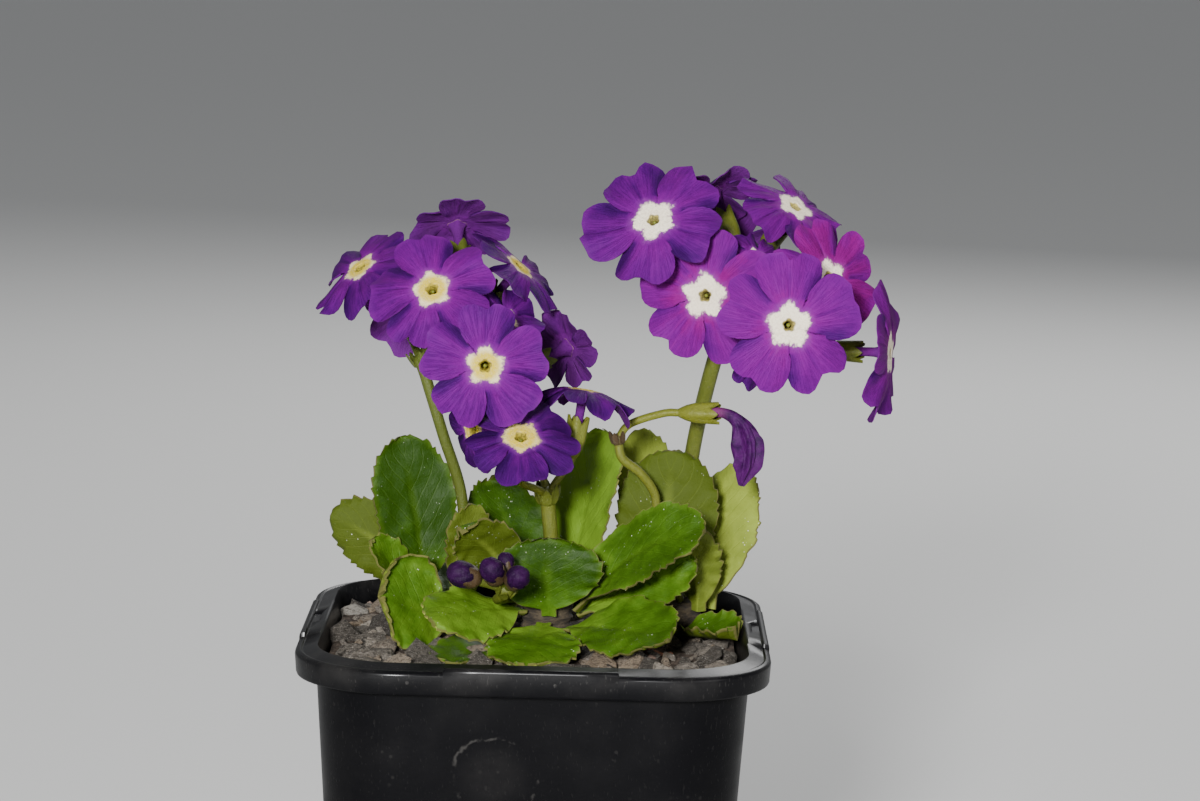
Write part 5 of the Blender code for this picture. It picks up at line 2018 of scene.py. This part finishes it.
@dataclass
class BudCluster:
    """The short stem low among the leaves, with its closed buds."""

    stems: Stems
    scape: tuple[Place, ...] = (
        (-0.9, -1, 102.3), (-1.5, -3, 103.3), (-5.5, -6, 103.5),
        (-7.3, -12, 104.4), (-6.5, -17, 106), (-5.7, -19, 107.6),
    )
    scape_radius: float = 1.0 * MM
    knob_radius: float = 1.7 * MM
    stalk_radii: tuple[float, ...] = (0.7 * MM, 0.8 * MM, 1.1 * MM)
    stretch: float = 1.15
    cup_share: float = 0.82
    cup_height: float = 0.42
    steps: int = 40
    rows: int = 26
    sides: int = 60
    buds: tuple[Bud, ...] = (
        Bud("bud_left", (-13.9, -23, 111.3), 2.6),
        Bud("bud_middle", (-8.2, -23, 112.2), 2.4),
        Bud("bud_right", (-3.2, -24.5, 111.2), 2.3),
        Bud("bud_rear", (-5.8, -17.5, 112.8), 1.7),
    )

    def bud(self, bud: Bud, head: Points, material: Material) -> None:
        """Makes one bud: five petals furled round each other, drawn in at the top.

        Args:
            bud: The bud.
            head: The place that its stalk comes from.
            material: Its finish.
        """
        centre, radius = mm(*bud.centre), bud.radius * MM
        frame = frame_at(centre, unit(centre - head))
        heights = np.linspace(0, math.pi, self.rows)
        profile = [(radius * math.sin(a), -radius * self.stretch * math.cos(a)) for a in heights]

        def furl(r: Values, h: Values, turns: Values) -> tuple[Values, Values]:
            """Lays the five petals' edges over each other, and sinks the top where they meet."""
            up = h / (radius * self.stretch)
            lap = np.mod(5 * turns / TURN + 0.9 * up, 1.0)
            dip = smooth(up, 0.75, 1.0) * 0.12 * radius
            sunk = h - dip * (1 - smooth(r, 0, 0.5 * radius))
            return r * (1 - 0.13 * (1 - lap) ** 2 * smooth(up, -0.8, 0.2)), sunk

        form = Form()
        points, faces = lathe(profile, self.sides, frame, furl)
        along = np.concatenate([np.repeat(np.linspace(0, 1, self.rows - 2), self.sides), (0, 1)])
        form.add(points, faces, along_uv(along))
        dress(form.build(bud.name + "_furled", material), bud.name)

    def build(self, green: Material, violet: Material) -> Piece:
        """Makes the stem and its buds.

        Args:
            green: The stem's finish.
            violet: The buds' finish.

        Returns:
            The stem's piece.
        """
        form = Form()
        path = path_through(self.scape, self.steps)
        head = path[-1]
        self.stems.stalk(form, path, np.full(len(path), self.scape_radius), 0.4)
        self.stems.knob(form, head, path[-1] - path[-4], self.knob_radius, 31, 0.3)
        for bud in self.buds:
            centre = mm(*bud.centre)
            facing = unit(centre - head)
            foot = centre - facing * (bud.radius * MM * self.stretch + GAP)
            places = np.linspace(0, 1, 12)
            route = head + (foot - head) * places[:, None]
            self.stems.stalk(form, route, np.interp(places, (0, 0.5, 1), self.stalk_radii), 0.1, 0.4)
            scale = self.cup_share * bud.radius * MM / (self.stems.calyx_inner + self.stems.calyx_wall)
            cup = frame_at(foot + facing * 0.3 * MM, facing) @ Matrix.Scale(self.cup_height, 4, (0, 0, 1))
            self.stems.calyx(form, cup, scale, 1.3, -0.3, 1.0)
            self.bud(bud, head, violet)
        return dress(form.build("bud_stem_green", green), "bud_stem")


@dataclass
class SpentFlower:
    """The thin stem whose last flower has faded: a cup that still holds the tube, and a crumpled limb."""

    stems: Stems
    scape: tuple[Place, ...] = (
        (28.2, 11.2, 100.6), (26.95, 8.95, 104), (24.6, 7.2, 110), (23.1, 6, 119),
        (22.4, 5.4, 123), (19.6, 4, 127), (16, 3, 130), (15.1, 3, 133.6),
    )
    pedicel: tuple[Place, ...] = (
        (15.1, 3, 133.6), (16.6, 2.6, 136.2), (19.3, 2, 137.8),
        (24.1, 1, 139.4), (26.6, 0.6, 139.6),
    )
    limb: tuple[Place, ...] = (
        (29.2, 0.2, 139.7), (32.2, -0.4, 139.85), (35.4, -1.1, 140), (38.2, -1.8, 138.4),
        (39.8, -2.2, 134.5), (39.9, -2.4, 130), (39.2, -2.4, 126),
    )
    radii: tuple[float, ...] = (0.85, 0.9, 1.0, 1.4, 2.4, 2.2, 0.45)
    scape_radius: float = 0.9 * MM
    knob_radius: float = 1.3 * MM
    flatness: float = 0.7
    steps: int = 48
    rows: int = 70
    sides: int = 60

    def crumple(self) -> tuple[Points, Faces, Values]:
        """Makes the faded corolla: a tube that widens into a twisted, pleated rag.

        Returns:
            Its points, its faces and its UV.
        """
        path = path_through(self.limb, self.rows)
        share = np.linspace(0, 1, self.rows + 1)
        size = np.interp(share * (len(self.radii) - 1), range(len(self.radii)), self.radii) * MM
        tangent = unit(np.gradient(path, axis=0))
        across = unit(np.cross(tangent, (0, 1, 0)))
        outward = np.cross(across, tangent)
        turns = np.arange(self.sides) / self.sides * TURN
        pleat = smooth(share, 0.42, 0.6)[:, None]
        twist = turns[None, :] + 1.1 * share[:, None]
        wave = 0.3 * np.cos(5 * twist + 3 * share[:, None]) + 0.16 * np.cos(11 * twist - 9 * share[:, None])
        spots = [Vector((math.cos(t) * 1.4, math.sin(t) * 1.4, s * 6)) for s in share for t in turns]
        rag = np.array([noise.noise(spot) for spot in spots]).reshape(wave.shape)
        reach = size[:, None] * (1 + pleat * (wave + 0.35 * rag))
        points = path[:, None] + across[:, None] * (reach * np.cos(turns))[..., None]
        points += outward[:, None] * (self.flatness * reach * np.sin(turns))[..., None]
        mesh, faces = skin(points)
        along = np.concatenate([np.repeat(share, self.sides), (0, 1)])
        return mesh, faces, along_uv(along)

    def build(self, green: Material, faded: Material) -> None:
        """Makes the stem and the spent flower.

        Args:
            green: The stem's finish.
            faded: The spent flower's finish.
        """
        form = Form()
        path = path_through(self.scape, self.steps)
        self.stems.stalk(form, path, np.full(len(path), self.scape_radius), 0.55)
        self.stems.knob(form, path[-1], path[-1] - path[-4], self.knob_radius, 47, 0.5, 0.7)
        ahead = path_through(self.limb, 8)
        facing = unit(ahead[1] - ahead[0])
        foot = frame_at(mm(*self.limb[0]) - facing * GAP, facing)
        end = np.array(foot @ Vector((0, 0, -self.stems.calyx_floor)))
        stalk = np.concatenate([path_through(self.pedicel, 24), end[None]])
        self.stems.stalk(form, stalk, np.full(len(stalk), self.scape_radius * 0.85), 0.7)
        self.stems.calyx(form, foot)
        dress(form.build("spent_flower_stem_green", green), "spent_flower_stem")
        rag = Form()
        points, faces, uv = self.crumple()
        rag.add(points, faces, uv)
        dress(rag.build("flower_spent_rag", faded), "flower_spent")


# Studio


@dataclass
class Studio:
    """The floor, the soft lights and the camera."""

    eye: Place = (0.0114, -0.698, 0.2434)
    aim: Place = (0, 0, 0.13)
    pitch: float = 8.29
    roll: float = 1.43
    lens: float = 109.2
    sensor: float = 36.0
    floor_half: float = 12.0
    sky: float = 0.3

    def floor(self) -> None:
        """A wide plain floor."""
        h = self.floor_half
        form = Form()
        form.add(np.array(((-h, -h, 0), (h, -h, 0), (h, h, 0), (-h, h, 0)), float), [(0, 1, 2, 3)])
        form.build("studio_floor", StudioFloor().material(), flat=True)

    def lamp(self, name: str, place: Place, size: float, power: float) -> None:
        """Adds a round area lamp aimed at the plant.

        Args:
            name: Its name.
            place: Where it stands, in metres.
            size: How wide it is, in metres.
            power: Its power, in watts.
        """
        data = bpy.data.lights.new(name, "AREA")
        data.shape = "DISK"
        data.size = size
        data.energy = power
        lamp = bpy.data.objects.new(name, data)
        facing = Vector(self.aim) - Vector(place)
        lamp.matrix_world = Matrix.Translation(place) @ facing.to_track_quat("-Z", "Y").to_matrix().to_4x4()
        bpy.context.scene.collection.objects.link(lamp)

    def lights(self) -> None:
        """A soft key by the camera, a fill from the right, a low rim light and a pale sky."""
        self.lamp("key", (-0.16, -1.08, 0.42), 0.16, 33)
        self.lamp("fill", (0.9, -0.8, 0.5), 0.8, 4)
        self.lamp("back", (0.3, 1.1, 0.9), 0.7, 10)
        world = bpy.data.worlds.new("studio")
        world.use_nodes = True
        sky = world.node_tree.nodes["Background"].inputs
        sky[0].default_value = (0.95, 0.97, 1.0, 1)
        sky[1].default_value = self.sky
        bpy.context.scene.world = world

    def camera(self) -> None:
        """The camera at the photograph's viewing angle."""
        pitch, roll = math.radians(self.pitch), math.radians(self.roll)
        forward = Vector((0, math.cos(pitch), -math.sin(pitch)))
        level = Vector((1, 0, 0))
        above = level.cross(forward)
        right = math.cos(roll) * level + math.sin(roll) * above
        up = math.cos(roll) * above - math.sin(roll) * level
        data = bpy.data.cameras.new("photo_view")
        data.lens = self.lens
        data.sensor_width = self.sensor
        data.clip_start = 0.01
        camera = bpy.data.objects.new("photo_view", data)
        turn = Matrix((right, up, -forward)).transposed().to_4x4()
        camera.matrix_world = Matrix.Translation(self.eye) @ turn
        bpy.context.scene.collection.objects.link(camera)
        bpy.context.scene.camera = camera


def main() -> None:
    """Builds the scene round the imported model."""
    logging.basicConfig(level=logging.INFO, format="%(message)s")
    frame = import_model()
    LOG.info("%d packed solids", len(frame["nodes"]))
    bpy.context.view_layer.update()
    studio = Studio()
    studio.camera()
    studio.lights()
    studio.floor()
    pot = Pot()
    pot.build()
    bed = CompostBed(pot)
    bed.build()
    bed.scatter()
    Rootstock().build()
    leaf_skin = LeafSkin().material()
    for index, leaf in enumerate(LEAVES):
        Foliage().build(leaf, index, leaf_skin)
    green = StemSkin().material()
    petal = PetalSkin().material()
    stems = Stems()
    corolla = Corolla()
    for number, umbel in enumerate(UMBELS):
        stems.umbel(umbel, number, green)
        for index, flower in enumerate(umbel.flowers):
            corolla.build(flower, umbel, 100 * number + index, (petal, green))
    violet = BudSkin("bud_skin", (0.004, 0.0, 0.009), (0.016, 0.0002, 0.024))
    faded = BudSkin(
        "faded_petal", (0.008, 0.0002, 0.018), (0.042, 0.001, 0.058), foot=(0.12, 0.02, 0.09), foot_share=0.3
    )
    violet_skin, faded_skin = violet.material(), faded.material()
    BudCluster(stems).build(green, violet_skin)
    SpentFlower(stems).build(green, faded_skin)


if __name__ == "__main__":
    main()
